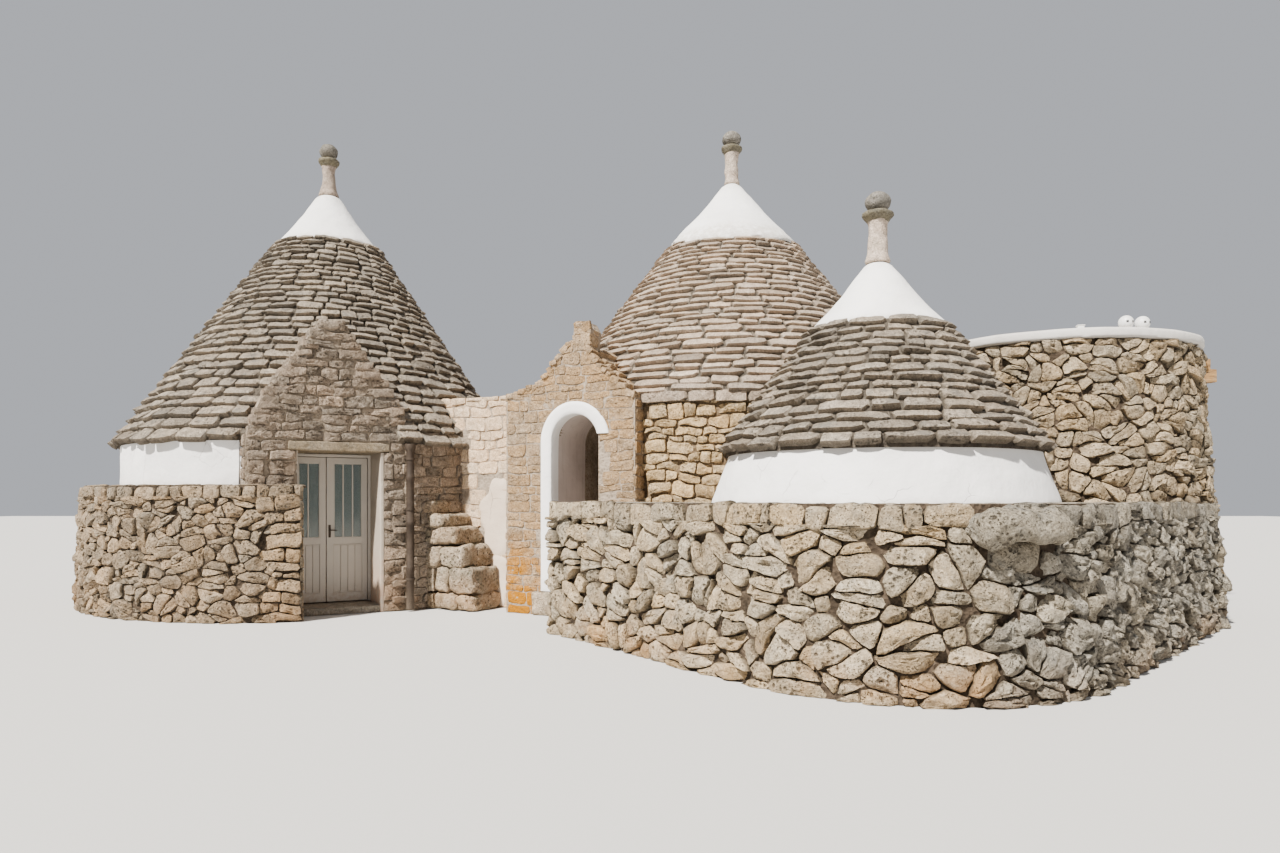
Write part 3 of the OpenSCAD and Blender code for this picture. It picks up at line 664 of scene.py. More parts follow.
def plaster(name, white, shade, dirt=(0.42, 0.37, 0.30), dirt_amt=0.25, bump=1.0, foot=None, head=None, cracks=0.0, vertical=0.0):
    t = NT(name)
    big = t.noise(1.3, 4, 0.55); mid = t.noise(9, 5, 0.6); fine = t.noise(80, 5, 0.65); grit = t.noise(300, 2, 0.5)
    col = t.mix(t.step(big, 0.3, 0.7), shade, white)
    col = t.mix(t.step(mid, 0.55, 0.85, 0.0, 0.35), col, shade)
    dm = t.math("MULTIPLY", t.step(t.noise(4.5, 7, 0.72), 0.56, 0.78), dirt_amt)
    z = t.xyz()[2]
    if foot is not None:
        dm = t.math("ADD", dm, t.math("MULTIPLY", t.step(z, foot[0], foot[1], foot[2], 0.0), t.step(t.noise(12, 6, 0.7), 0.30, 0.62)))
    if head is not None:
        dm = t.math("ADD", dm, t.math("MULTIPLY", t.step(z, head[0], head[1], 0.0, head[2]), t.step(t.noise(15, 6, 0.7), 0.35, 0.62)))
    if vertical:
        sv = t.noise(1.0, 6, 0.7, vec=t.scale3(t.obj, (14.0, 14.0, 0.7)))
        dm = t.math("ADD", dm, t.math("MULTIPLY", t.step(sv, 0.50, 0.75), vertical))
    col = t.mix(t.math("MULTIPLY", dm, 1.0, clamp=True), col, dirt)
    hgt = t.math("ADD", t.math("MULTIPLY", mid, 0.010 * bump), t.math("MULTIPLY", fine, 0.0022 * bump))
    hgt = t.math("ADD", hgt, t.math("MULTIPLY", grit, 0.0005 * bump))
    hgt = t.math("ADD", hgt, t.math("MULTIPLY", big, 0.03 * bump))
    if cracks:
        cv = t.voronoi(2.6, "DISTANCE_TO_EDGE", vec=t.mix(0.12, t.obj, t.noise(5, 4, 0.6, color=True)))
        cm = t.math("MULTIPLY", t.step(cv, 0.0, 0.010, 1.0, 0.0), t.step(t.noise(1.9, 3), 0.52, 0.60))
        col = t.mix(t.math("MULTIPLY", cm, cracks), col, (0.25, 0.21, 0.17))
        hgt = t.math("SUBTRACT", hgt, t.math("MULTIPLY", cm, 0.004))
    t.bump(hgt)
    return t.done(col, t.step(fine, 0.2, 0.8, 0.78, 0.92), 0.25)


def flags(name, light, dark, joint, scale=2.3, bump=1.0):
    t = NT(name)
    wv = t.mix(0.06, t.obj, t.noise(3.0, 3, 0.6, color=True))
    e = t.voronoi(scale, "DISTANCE_TO_EDGE", vec=t.scale3(wv, (1.0, 1.0, 0.0)))
    n1 = t.noise(8, 5, 0.6); n2 = t.noise(60, 5, 0.65)
    col = t.mix(t.step(n1, 0.3, 0.7), dark, light)
    col = t.mix(t.step(n2, 0.35, 0.75, 0.0, 0.25), col, (0.66, 0.60, 0.50))
    jm = t.step(e, 0.012, 0.035, 1.0, 0.0)
    col = t.mix(jm, col, joint)
    hgt = t.math("ADD", t.math("MULTIPLY", n1, 0.012 * bump), t.math("MULTIPLY", n2, 0.004 * bump))
    hgt = t.math("SUBTRACT", hgt, t.math("MULTIPLY", jm, 0.012))
    t.bump(hgt)
    return t.done(col, 0.86, 0.25)


def painted_wood(name, base, worn):
    t = NT(name)
    g = t.noise(1.0, 5, 0.6, vec=t.scale3(t.obj, (60.0, 60.0, 2.4)))
    n = t.noise(5, 5, 0.6); fine = t.noise(160, 4, 0.6)
    col = t.mix(t.step(n, 0.35, 0.7, 0.0, 0.5), base, tuple(x * 1.13 for x in base))
    col = t.mix(t.step(g, 0.52, 0.78, 0.0, 0.22), col, tuple(x * 0.72 for x in base))
    z = t.xyz()[2]
    low = t.math("MULTIPLY", t.step(z, 0.10, 0.42, 0.65, 0.0), t.step(t.noise(22, 6, 0.7), 0.40, 0.62))
    col = t.mix(low, col, worn)
    hgt = t.math("ADD", t.math("MULTIPLY", g, 0.0011), t.math("MULTIPLY", fine, 0.0003))
    t.bump(hgt)
    return t.done(col, t.step(n, 0.3, 0.7, 0.42, 0.58), 0.45)


def old_wood(name):
    t = NT(name)
    ring = t.noise(1.0, 6, 0.62, vec=t.scale3(t.obj, (5.0, 34.0, 34.0)), dist=0.8)
    fib = t.noise(1.0, 4, 0.6, vec=t.scale3(t.obj, (14.0, 210.0, 210.0)))
    wea = t.noise(3.5, 5, 0.6)
    col = t.mix(t.step(ring, 0.30, 0.70), (0.14, 0.075, 0.032), (0.38, 0.22, 0.085))
    col = t.mix(t.step(fib, 0.45, 0.75, 0.0, 0.35), col, (0.11, 0.06, 0.03))
    col = t.mix(t.step(wea, 0.52, 0.72, 0.0, 0.45), col, (0.36, 0.30, 0.23))
    hgt = t.math("ADD", t.math("MULTIPLY", ring, 0.006), t.math("MULTIPLY", fib, 0.0022))
    t.bump(hgt)
    return t.done(col, 0.78, 0.3)


def pipe_paint(name):
    t = NT(name)
    n = t.noise(6, 6, 0.65); st = t.noise(1.0, 5, 0.6, vec=t.scale3(t.obj, (30.0, 30.0, 1.4))); fine = t.noise(140, 4, 0.6)
    col = t.mix(t.step(n, 0.35, 0.68), (0.030, 0.021, 0.015), (0.055, 0.040, 0.029))
    col = t.mix(t.step(st, 0.52, 0.74, 0.0, 0.5), col, (0.075, 0.060, 0.046))
    z = t.xyz()[2]
    col = t.mix(t.math("MULTIPLY", t.step(z, 0.05, 0.45, 0.7, 0.0), t.step(fine, 0.3, 0.6)), col, (0.13, 0.10, 0.072))
    t.bump(t.math("ADD", t.math("MULTIPLY", n, 0.0012), t.math("MULTIPLY", fine, 0.0004)))
    return t.done(col, t.step(n, 0.3, 0.7, 0.62, 0.80), 0.18)


def pane_glass(name):
    t = NT(name)
    n = t.noise(1.1, 3, 0.5); dust = t.noise(9, 6, 0.7)
    z = t.xyz()[2]
    dust_and_painted_light = t.math("MULTIPLY", t.step(dust, 0.45, 0.75), 0.20)
    # painted light: below 1.0 to 1.3 m the glass is made paler, as if sunlit under the lintel's shadow; the noise part
    # above is dust
    dust_and_painted_light = t.math("ADD", dust_and_painted_light, t.step(z, 1.0, 1.3, 0.18, 0.0), clamp=True)
    col = t.mix(dust_and_painted_light, (0.31, 0.39, 0.36), (0.44, 0.42, 0.38))
    t.link(col, t.bsdf.inputs["Base Color"])
    t.link(t.step(dust, 0.3, 0.8, 0.03, 0.16), t.bsdf.inputs["Roughness"])
    t.bsdf.inputs["Transmission Weight"].default_value = 0.72
    t.bsdf.inputs["IOR"].default_value = 1.5
    t.bsdf.inputs["Specular IOR Level"].default_value = 0.6
    t.bump(t.math("MULTIPLY", n, 0.004))
    return t.m


def lamp_paint(name, dark=False):
    t = NT(name)
    n = t.noise(14, 5, 0.6); fine = t.noise(220, 3, 0.6)
    a, b = ((0.05, 0.05, 0.05), (0.11, 0.105, 0.10)) if dark else ((0.80, 0.80, 0.78), (0.66, 0.64, 0.60))
    col = t.mix(t.step(n, 0.45, 0.75), a, b)
    t.bump(t.math("ADD", t.math("MULTIPLY", n, 0.0006), t.math("MULTIPLY", fine, 0.0002)))
    return t.done(col, t.step(n, 0.3, 0.7, 0.32, 0.5), 0.5)


M = {
    "terrace": limestone("terrace_limestone", (0.60, 0.535, 0.435), (0.40, 0.345, 0.27), (0.56, 0.43, 0.29), stain=0.42, stain_top=0.50,
                         lichen=0.42, lichen_col=(0.30, 0.28, 0.245), pits=1.0, bump=1.7, edge=0.14, gain=(0.78, 1.38)),
    "karst": limestone("karst_limestone", (0.50, 0.465, 0.40), (0.30, 0.275, 0.235), (0.45, 0.385, 0.29), stain=0.25, stain_top=0.4,
                       lichen=0.55, lichen_col=(0.24, 0.235, 0.215), pits=1.0, bump=2.0, edge=0.14, gain=(0.74, 1.34)),
    "ring": limestone("ring_limestone", (0.58, 0.49, 0.385), (0.38, 0.31, 0.23), (0.56, 0.405, 0.265), stain=0.35, stain_top=0.7,
                      lichen=0.38, lichen_col=(0.27, 0.25, 0.215), pits=1.0, bump=1.9, edge=0.14, gain=(0.63, 1.25)),
    "annex": limestone("annex_limestone", (0.60, 0.52, 0.405), (0.40, 0.335, 0.25), (0.58, 0.44, 0.29), stain=0.2,
                       lichen=0.30, lichen_col=(0.29, 0.27, 0.235), pits=1.0, bump=1.7, edge=0.14, gain=(0.71, 1.28)),
    "slab": limestone("roof_limestone", (0.475, 0.415, 0.34), (0.275, 0.235, 0.19), (0.46, 0.375, 0.285), lichen=0.55,
                      lichen_col=(0.205, 0.19, 0.165), pits=0.75, bump=1.3, gain=(0.68, 1.12)),
    "slab_b": limestone("roof_limestone_middle", (0.52, 0.44, 0.36), (0.37, 0.305, 0.25), (0.54, 0.415, 0.31), lichen=0.32,
                        lichen_col=(0.26, 0.23, 0.195), pits=0.45, bump=0.8, gain=(0.80, 1.15)),
    "porch": limestone("porch_limestone", (0.52, 0.44, 0.36), (0.33, 0.275, 0.215), (0.50, 0.375, 0.275), lichen=0.42,
                       lichen_col=(0.245, 0.22, 0.19), pits=0.75, stain=0.45, stain_top=0.9, bump=1.2, edge=0.46, gain=(0.61, 1.15)),
    "portal": limestone("portal_limestone", (0.56, 0.485, 0.41), (0.40, 0.335, 0.27), (0.56, 0.415, 0.30), lichen=0.30,
                        lichen_col=(0.31, 0.28, 0.24), pits=0.40, stain=0.55, stain_top=0.8, bump=1.15, edge=0.80, gain=(0.67, 1.75), spot=(-1.42, -0.42, 0.85, 1.35)),
    "link": limestone("link_limestone", (0.66, 0.575, 0.48), (0.50, 0.42, 0.335), (0.64, 0.49, 0.37), lichen=0.25,
                      lichen_col=(0.36, 0.32, 0.27), pits=0.2, stain=0.15, stain_top=0.6, bump=0.6, edge=0.96, gain=(1.0, 1.5)),
    "middle": limestone("middle_limestone", (0.56, 0.455, 0.325), (0.33, 0.255, 0.165), (0.56, 0.40, 0.235), lichen=0.18,
                        lichen_col=(0.30, 0.26, 0.20), pits=0.55, edge=0.34, gain=(0.90, 1.22)),
    "stair": limestone("stair_limestone", (0.47, 0.41, 0.335), (0.25, 0.21, 0.16), (0.42, 0.31, 0.22), lichen=0.55,
                       lichen_col=(0.20, 0.19, 0.145), pits=1.0, stain=0.3, edge=0.4, bump=1.6, gain=(0.95, 1.3)),
    "carved_pale": limestone("pinnacle_neck_limestone", (0.74, 0.65, 0.57), (0.58, 0.495, 0.42), (0.70, 0.55, 0.45), lichen=0.50,
                             lichen_col=(0.36, 0.33, 0.27), pits=0.35, bump=0.6, edge=1.0, gain=(0.72, 1.25)),
    "carved": limestone("pinnacle_limestone", (0.47, 0.435, 0.385), (0.27, 0.25, 0.215), (0.34, 0.29, 0.17), lichen=0.70,
                        lichen_col=(0.16, 0.15, 0.12), pits=0.5, bump=0.55, edge=1.0, gain=(0.50, 1.05)),
    "paving": limestone("terrace_top_limestone", (0.50, 0.45, 0.38), (0.33, 0.29, 0.235), (0.48, 0.39, 0.29), lichen=0.5,
                        lichen_col=(0.25, 0.24, 0.21), pits=0.5, bump=0.7, gain=(0.62, 1.2)),
    "joint": joint_fill("joint_earth", (0.034, 0.025, 0.017), (0.085, 0.062, 0.043)),
    "joint_roof": joint_fill("joint_roof", (0.055, 0.046, 0.037), (0.105, 0.088, 0.068)),
    "joint_lime": joint_fill("joint_lime", (0.20, 0.155, 0.11), (0.33, 0.27, 0.205), 0.5),
    "joint_pale": joint_fill("joint_pale", (0.24, 0.19, 0.14), (0.37, 0.30, 0.23), 0.5),
    "joint_ochre": joint_fill("joint_ochre", (0.115, 0.078, 0.045), (0.21, 0.150, 0.090), 0.8),
    "white": plaster("whitewash_plaster", (0.935, 0.925, 0.905), (0.80, 0.785, 0.765), dirt_amt=0.10),
    "cap_a": plaster("whitewash_cap_left", (0.935, 0.925, 0.905), (0.80, 0.79, 0.765), dirt_amt=0.12, foot=(5.66, 5.84, 0.55), head=(6.35, 6.6, 0.35)),
    "cap_b": plaster("whitewash_cap_middle", (0.935, 0.925, 0.905), (0.80, 0.79, 0.765), dirt_amt=0.12, foot=(5.60, 5.78, 0.55), head=(6.34, 6.591, 0.35)),
    "cap_c": plaster("whitewash_cap_front", (0.935, 0.925, 0.905), (0.80, 0.79, 0.765), dirt_amt=0.12, foot=(3.55, 3.70, 0.55), head=(4.2, 4.43, 0.35)),
    "band": plaster("whitewash_band", (0.935, 0.925, 0.905), (0.80, 0.785, 0.77), dirt_amt=0.10, foot=(1.70, 1.86, 0.45), cracks=0.35),
    "coping": plaster("whitewash_coping", (0.60, 0.58, 0.55), (0.50, 0.475, 0.44), dirt_amt=0.3, bump=1.2),
    "drum": plaster("whitewash_drum", (0.935, 0.925, 0.905), (0.81, 0.80, 0.785), dirt_amt=0.07, foot=(1.46, 1.60, 0.5), cracks=0.25),
    "surround": plaster("whitewash_surround", (0.935, 0.925, 0.905), (0.82, 0.81, 0.795), dirt_amt=0.12, foot=(0.30, 0.62, 0.35), bump=0.8),
    "passage": plaster("passage_plaster", (0.62, 0.54, 0.495), (0.52, 0.445, 0.405), dirt=(0.25, 0.20, 0.17), dirt_amt=0.3, vertical=0.35, bump=0.7),
    "reveal": plaster("reveal_plaster", (0.44, 0.385, 0.32), (0.36, 0.305, 0.245), dirt=(0.55, 0.33, 0.22), dirt_amt=0.35, foot=(0.1, 1.1, 0.55), bump=0.9),
    "patch": plaster("patch_plaster", (0.70, 0.575, 0.455), (0.60, 0.48, 0.365), dirt=(0.42, 0.32, 0.22), dirt_amt=0.4, bump=0.9, cracks=0.8),
    "room": plaster("room_plaster", (0.70, 0.67, 0.62), (0.60, 0.57, 0.52), dirt=(0.38, 0.34, 0.29), dirt_amt=0.3, bump=0.9),
    "lintel": limestone("lintel_limestone", (0.46, 0.40, 0.325), (0.30, 0.255, 0.20), (0.50, 0.37, 0.20), lichen=0.4,
                        lichen_col=(0.22, 0.20, 0.17), pits=0.5, bump=0.7, edge=0.9, gain=(0.62, 1.2)),
    "floor": flags("floor_flags", (0.50, 0.45, 0.37), (0.36, 0.31, 0.25), (0.16, 0.13, 0.10)),
    "door": painted_wood("door_greige", (0.47, 0.425, 0.365), (0.36, 0.27, 0.19)),
    "glass": pane_glass("door_pane_glass"),
    "timber": old_wood("old_timber_grain"),
    "pipe": pipe_paint("pipe_brown"),
    "lamp": lamp_paint("lamp_white_paint"),
    "lamp_dark": lamp_paint("lamp_dark_paint", dark=True),
}


def paint(names, mats, pick=None):
    """Materials on carried-over solids; pick(centre, normal) gives each face's index."""
    for nm in names:
        o = NODES[nm]
        o.data.materials.clear()
        for m in mats:
            o.data.materials.append(M[m])
        for p in o.data.polygons:
            i = 0
            if pick is not None:
                c, q = p.center, p.normal
                i = pick(c.x + OX, c.y + OY, c.z, q.x, q.y, q.z)
            p.material_index = i


def inner(c, r):
    return lambda X, Y, Z, nx, ny, nz: 1 if math.hypot(X - c[0], Y - c[1]) < r and (nx * (X - c[0]) + ny * (Y - c[1])) < 0.2 else 0


paint(["a_ring_wall_front", "a_ring_wall_left", "a_ring_wall_back", "terrace_wall_left", "terrace_wall_nose",
       "terrace_wall_right", "terrace_return", "terrace_fill", "d_door_head", "d_door_pier"], ["joint"])
paint(["d_wall_left", "d_wall_front", "d_wall_back"], ["joint", "room"], inner(D, 1.27))
paint(["b_drum_left", "b_drum_front", "b_drum_right", "b_drum_back"], ["joint_ochre", "room"], inner(B, 1.92))
paint(["a_drum_left", "a_drum_back"], ["band", "room"], inner(A, 1.97))


def drum_right(X, Y, Z, nx, ny, nz):
    if inner(A, 1.97)(X, Y, Z, nx, ny, nz):
        return 1
    a = math.degrees(math.atan2(Y - A[1], X - A[0]))
    return 2 if -62 < a < -24 else 0


paint(["a_drum_right"], ["band", "room", "joint_lime"], drum_right)
paint(["c_drum_left", "c_drum_right", "c_drum_back"], ["drum", "room"], inner(C, 1.37))
paint(["porch_pier_left", "porch_pier_right", "porch_gable"], ["joint_lime"])
paint(["connecting_wall"], ["joint_pale"])
paint(["portal_pier_left", "portal_pier_right", "portal_arch"], ["joint_pale"])
paint(["a_roof_cone_lower", "a_roof_cone_upper"], ["joint_roof", "room"], inner(A, 1.97))
paint(["b_roof_cone_lower", "b_roof_cone_upper"], ["joint_roof", "room"], inner(B, 1.92))
paint(["c_roof_cone_lower", "c_roof_cone_upper"], ["joint_roof", "room"], inner(C, 1.37))
paint(["a_floor", "b_floor"], ["floor"])


# ------------------------------------------------------------------ rubble walls
def stone_set(cells, n, warp, freq, seed, cut=1, ratio=0.2, fix=None, amin=0.0022):
    outs = []
    for P in cells:
        if len(P) < 3 or abs(area(P)) < amin:
            continue
        o = outline(P, n, warp, freq, seed, cut, ratio)
        if fix is not None:
            o = fix(o)
            if abs(area(o)) < amin:
                continue
        outs.append(o)
    return outs


def heights_for(outs, k=0.16, lo=0.026, hi=0.055):
    O = np.array(outs)
    r = np.sqrt(((O - O.mean(1)[:, None]) ** 2).sum(2)).mean(1)
    return np.clip(k * r * 2, lo, hi)


# terrace wall: s = 0 at the left corner, negative along the return face
TE = np.array([-1.03, 9.97]); TLT, TRT = math.radians(-55.2), math.radians(46.4)
TF_Y = 6.36; TR = np.array([7.24, 10.58])
_c1 = TE[0] + (TE[1] - TF_Y) / math.tan(-TLT); _c2 = TR[0] - (TR[1] - TF_Y) / math.tan(TRT)
NR = (_c2 - _c1) / (math.tan(-TLT / 2) + math.tan(TRT / 2))
T1, T2 = NR * math.tan(-TLT / 2), NR * math.tan(TRT / 2)
LL = (TE[1] - TF_Y) / math.sin(-TLT) - T1
LR = (TR[1] - TF_Y) / math.sin(TRT) - T2
NC = np.array([_c1 + T1, TF_Y + NR])
LA = NR * (TRT - TLT)
RP = np.array([-1.432 + 1.09 * math.cos(math.radians(-25)), 11.56 + 1.09 * math.sin(math.radians(-25))])
RET = float(np.hypot(*(TE - RP)))
RD = (TE - RP) / RET
S_END = LL + LA + LR


def terrace_at(s, z, h, aux=None):
    s = np.asarray(s, float)
    dl = np.array([math.cos(TLT), math.sin(TLT)]); dr = np.array([math.cos(TRT), math.sin(TRT)])
    # return face
    xr, yr = TE[0] + RD[0] * s, TE[1] + RD[1] * s
    nrx, nry = RD[1], -RD[0]
    # left run
    xl, yl = TE[0] + dl[0] * s, TE[1] + dl[1] * s
    nlx, nly = dl[1], -dl[0]
    # nose
    a = -math.pi / 2 + TLT + (s - LL) / NR
    xn, yn = NC[0] + NR * np.cos(a), NC[1] + NR * np.sin(a)
    # right run
    q = s - LL - LA
    px, py = NC[0] + NR * math.cos(-math.pi / 2 + TRT), NC[1] + NR * math.sin(-math.pi / 2 + TRT)
    xq, yq = px + dr[0] * q, py + dr[1] * q
    nqx, nqy = dr[1], -dr[0]
    c0, c1, c2 = s < 0, (s >= 0) & (s < LL), (s >= LL) & (s < LL + LA)
    X = np.where(c0, xr, np.where(c1, xl, np.where(c2, xn, xq)))
    Y = np.where(c0, yr, np.where(c1, yl, np.where(c2, yn, yq)))
    NX = np.where(c0, nrx, np.where(c1, nlx, np.where(c2, np.cos(a), nqx)))
    NY = np.where(c0, nry, np.where(c1, nly, np.where(c2, np.sin(a), nqy)))
    # normals turn smoothly round the corner
    w = np.clip((s + 0.14) / 0.28, 0, 1); near = np.abs(s) < 0.14
    bx, by = nrx + (nlx - nrx) * w, nry + (nly - nry) * w
    bn = np.hypot(bx, by) + 1e-9
    NX = np.where(near, bx / bn, NX); NY = np.where(near, by / bn, NY)
    lean = 0.10 * np.clip(z, 0, 1.52) / 1.52 * np.clip(s / 0.5, 0, 1)
    X = X + NX * (h - lean); Y = Y + NY * (h - lean)
    return X - OX, Y - OY, z + 0 * X


def not_annex(X, Y, Z):
    return ~in_d(X, Y, Z, -0.04)


def terrace_size(s, z):
    s = s - RET
    k = 1.0
    if s > LL + 0.75 * LA:
        k = 0.78
    return k


W_T = S_END + RET
BOULDER = None
tc_cells = split_cells(power_cells(W_T, 1.60, 0.078, 0.235, 1.22, 0.012, 11, 7.0, 0, terrace_size), 0.010, 14, 0.066, 0.14, 0.80)
caps_t = coping_row(0, W_T, 1.335, 1.530, 0.20, 0.44, 0.010, 12, 0.035, 0.06)


def split_by_s(outs, edges):
    cs = np.array([o[:, 0].mean() for o in outs])
    return [[o for o, c in zip(outs, cs) if lo <= c < hi] for lo, hi in zip(edges[:-1], edges[1:])]


def shift_s(outs, d):
    return [o - np.array([d, 0.0]) for o in outs]


def clamp_top(top, drop=0.0):
    def f(o):
        o = o.copy(); o[:, 1] = np.clip(o[:, 1] - drop, 0.0, top)
        return o
    return f


KARST_S = LL + 0.62 * LA
t_outs = shift_s(stone_set(tc_cells, 18, 0.017, 6.5, 31, 1, 0.13, clamp_top(1.355, 0.12)), RET)
t_caps = shift_s(stone_set(caps_t, 16, 0.011, 7.0, 32, 1, 0.12, clamp_top(1.540)), RET)
# one big boulder juts out of the wall near its nose
BO = np.array([2.86, 1.30])        # site x of its middle and its height
bs = LL + (math.atan2(-math.sqrt(max(0.0, NR ** 2 - (BO[0] - NC[0]) ** 2)), BO[0] - NC[0]) - (-math.pi / 2 + TLT)) * NR
def off_boulder(o):
    c = o.mean(0)
    return ((c[0] - bs) / 0.33) ** 2 + ((c[1] - 1.23) / 0.17) ** 2 > 1
t_outs = [o for o in t_outs if off_boulder(o)]
t_caps = [o for o in t_caps if abs(o[:, 0].mean() - bs) > 0.16]

edges_t = [-RET - 1, 0.08, KARST_S, S_END + 1]
for nm, key, ro, co, sd in (("terrace_stones_return", "terrace", 0, 0, 41), ("terrace_stones_left", "terrace", 1, 1, 42),
                            ("terrace_stones_right", "karst", 2, 2, 43)):
    p = Piece(nm, M[key], "rubble")
    o = split_by_s(t_outs, edges_t)[ro]
    karst = key == "karst"
    rocks(p, o, terrace_at, heights_for(o, 0.30, 0.046, 0.084), seed=sd, depth=0.05, amp=0.019 if not karst else 0.030,
          facet=0.85, nf=6, tilt=0.55, keep=not_annex, bright=(0.56, 0.18) if not karst else (0.52, 0.18), warm=(0.36, 0.26) if not karst else (0.25, 0.2))
    o = split_by_s(t_caps, edges_t)[co]
    rocks(p, o, terrace_at, 0.062, seed=sd + 10, depth=0.05, prof=RUBBLE, amp=0.016, facet=0.6, nf=4, tilt=0.4, keep=not_annex,
          bright=(0.42, 0.14), warm=(0.3, 0.2))
    p.build()


# ------------------------------------------------------------------ rough blocks
_box_cache = {}


def box_topology(m):
    """A closed grid box on [-1, 1] cubed, with its shared edge points merged."""
    if m in _box_cache:
        return _box_cache[m]
    g = np.linspace(-1, 1, m + 1)
    pts, tris = [], []
    for ax in range(3):
        for sgn in (-1, 1):
            u, v = np.meshgrid(g, g, indexing="ij")
            P = np.zeros((m + 1, m + 1, 3)); P[..., ax] = sgn
            P[..., (ax + 1) % 3] = u; P[..., (ax + 2) % 3] = v
            base = sum(len(p) for p in pts)
            pts.append(P.reshape(-1, 3))
            i, j = np.meshgrid(np.arange(m), np.arange(m), indexing="ij")
            a = base + i * (m + 1) + j; b = a + m + 1; c = b + 1; d = a + 1
            q = np.concatenate([np.stack([a, b, c], -1).reshape(-1, 3), np.stack([a, c, d], -1).reshape(-1, 3)])
            tris.append(q if sgn > 0 else q[:, ::-1])
    P = np.concatenate(pts); T = np.concatenate(tris)
    key = np.round(P * 1000).astype(int)
    _, first, inv = np.unique(key, axis=0, return_index=True, return_inverse=True)
    inv = np.asarray(inv).ravel()
    _box_cache[m] = (P[first], inv[T])
    return _box_cache[m]


def rbox(piece, centre, size, axes=None, r=0.004, m=3, amp=0.0, freq=8.0, seed=0, tint=(0.5, 0.5, 0.5, 1.0), sides=None, bulge=0.0):
    """A box with rounded edges, roughened by noise. centre and axes in part metres."""
    P, T = box_topology(m)
    half = np.array(size, float) / 2
    r = min(r, half.min() * 0.95)
    # grid lines gather near the edges so that the rounding has points
    Q = np.sign(P) * np.abs(P) ** 0.75 if r < half.min() * 0.4 else P
    X = Q * half
    inn = np.clip(X, -(half - r), half - r)
    d = X - inn
    L = np.linalg.norm(d, axis=1, keepdims=True)
    X = inn + np.where(L > 1e-9, d / np.maximum(L, 1e-9) * r, 0)
    if bulge:
        k = 1 - np.abs(P) ** 2
        X = X + np.sign(P) * (np.abs(P) > 0.999) * bulge * (k.prod(axis=1, keepdims=True) + k.sum(axis=1, keepdims=True) * 0.2)
    if axes is None:
        axes = np.eye(3)
    axes = np.array(axes, float)
    W = X @ axes + np.array(centre, float)
    if amp:
        n = [fbm(W[:, 0] * freq, W[:, 1] * freq, W[:, 2] * freq + 31.7 * k, seed + 7 * k, 3) for k in range(3)]
        W = W + amp * np.stack(n, 1)
    if np.linalg.det(axes) < 0:
        T = T[:, ::-1]
    piece.add(W, T, tint)
    return W


def frame_axes(fr):
    return np.array([[fr.ex[0], fr.ex[1], 0], [fr.ey[0], fr.ey[1], 0], [0, 0, 1.0]])


def fbox(piece, fr, x0, x1, y0, y1, z0, z1, **kw):
    c = fr.part((x0 + x1) / 2, (y0 + y1) / 2, (z0 + z1) / 2)
    return rbox(piece, c, (x1 - x0, y1 - y0, z1 - z0), frame_axes(fr), **kw)


def lathe(piece, c, prof, seg=64, a0=0.0, a1=TAU, wob=0.0, freq=3.0, seed=0, tint=(0.5, 0.5, 0.5, 1.0), rag=None, flare=0.0):
    """Turns a profile of (r, z) about the site point c. Open ends on the axis are closed with a point."""
    full = abs((a1 - a0) - TAU) < 1e-6
    ns = seg if full else seg + 1
    ang = a0 + (a1 - a0) * np.arange(ns) / seg
    R = np.array([p[0] for p in prof]); Z = np.array([p[1] for p in prof])
    rr = np.repeat(R[None], ns, 0); zz = np.repeat(Z[None], ns, 0)
    aa = np.repeat(ang[:, None], len(R), 1)
    if rag is not None:
        dz = rag(aa, zz, rr)
        zz = zz + dz
        rr = rr + flare * np.clip(-dz - 0.014, 0, 1)
    X, Y = rr * np.cos(aa), rr * np.sin(aa)
    if wob:
        n = fbm(X * freq, Y * freq, zz * freq, seed, 3)
        k = np.clip(rr / 0.05, 0, 1)
        X = X + wob * n * np.cos(aa) * k; Y = Y + wob * n * np.sin(aa) * k
        zz = zz + 0.3 * wob * k * fbm(X * freq, Y * freq, zz * freq, seed + 40, 2)
    V = np.stack([X + c[0] - OX, Y + c[1] - OY, zz], -1)
    m = len(R)
    i, j = np.meshgrid(np.arange(ns if full else ns - 1), np.arange(m - 1), indexing="ij")
    a = i * m + j; b = ((i + 1) % ns) * m + j
    F = np.concatenate([np.stack([a, b, b + 1], -1).reshape(-1, 3), np.stack([a, b + 1, a + 1], -1).reshape(-1, 3)])
    V = V.reshape(-1, 3)
    # points on the axis become one
    for e in (0, m - 1):
        if R[e] < 1e-6:
            ids = np.arange(ns) * m + e
            remap = np.arange(len(V)); remap[ids] = ids[0]
            F = remap[F]
    F = F[(F[:, 0] != F[:, 1]) & (F[:, 1] != F[:, 2]) & (F[:, 0] != F[:, 2])]
    used, inv = np.unique(F, return_inverse=True)
    V = V[used]; F = np.asarray(inv).reshape(-1, 3)
    T = np.asarray(tint, float)
    piece.add(V, F, T)


def smooth_profile(pts, n=40, rounds=2):
    P = np.array(pts, float)
    for _ in range(rounds):
        Q = [P[0]]
        for i in range(len(P) - 1):
            Q += [P[i] + 0.25 * (P[i + 1] - P[i]), P[i] + 0.75 * (P[i + 1] - P[i])]
        Q.append(P[-1]); P = np.array(Q)
    s = np.concatenate([[0], np.cumsum(np.hypot(*np.diff(P, axis=0).T))])
    u = np.linspace(0, s[-1], n)
    return list(zip(np.interp(u, s, P[:, 0]), np.interp(u, s, P[:, 1])))


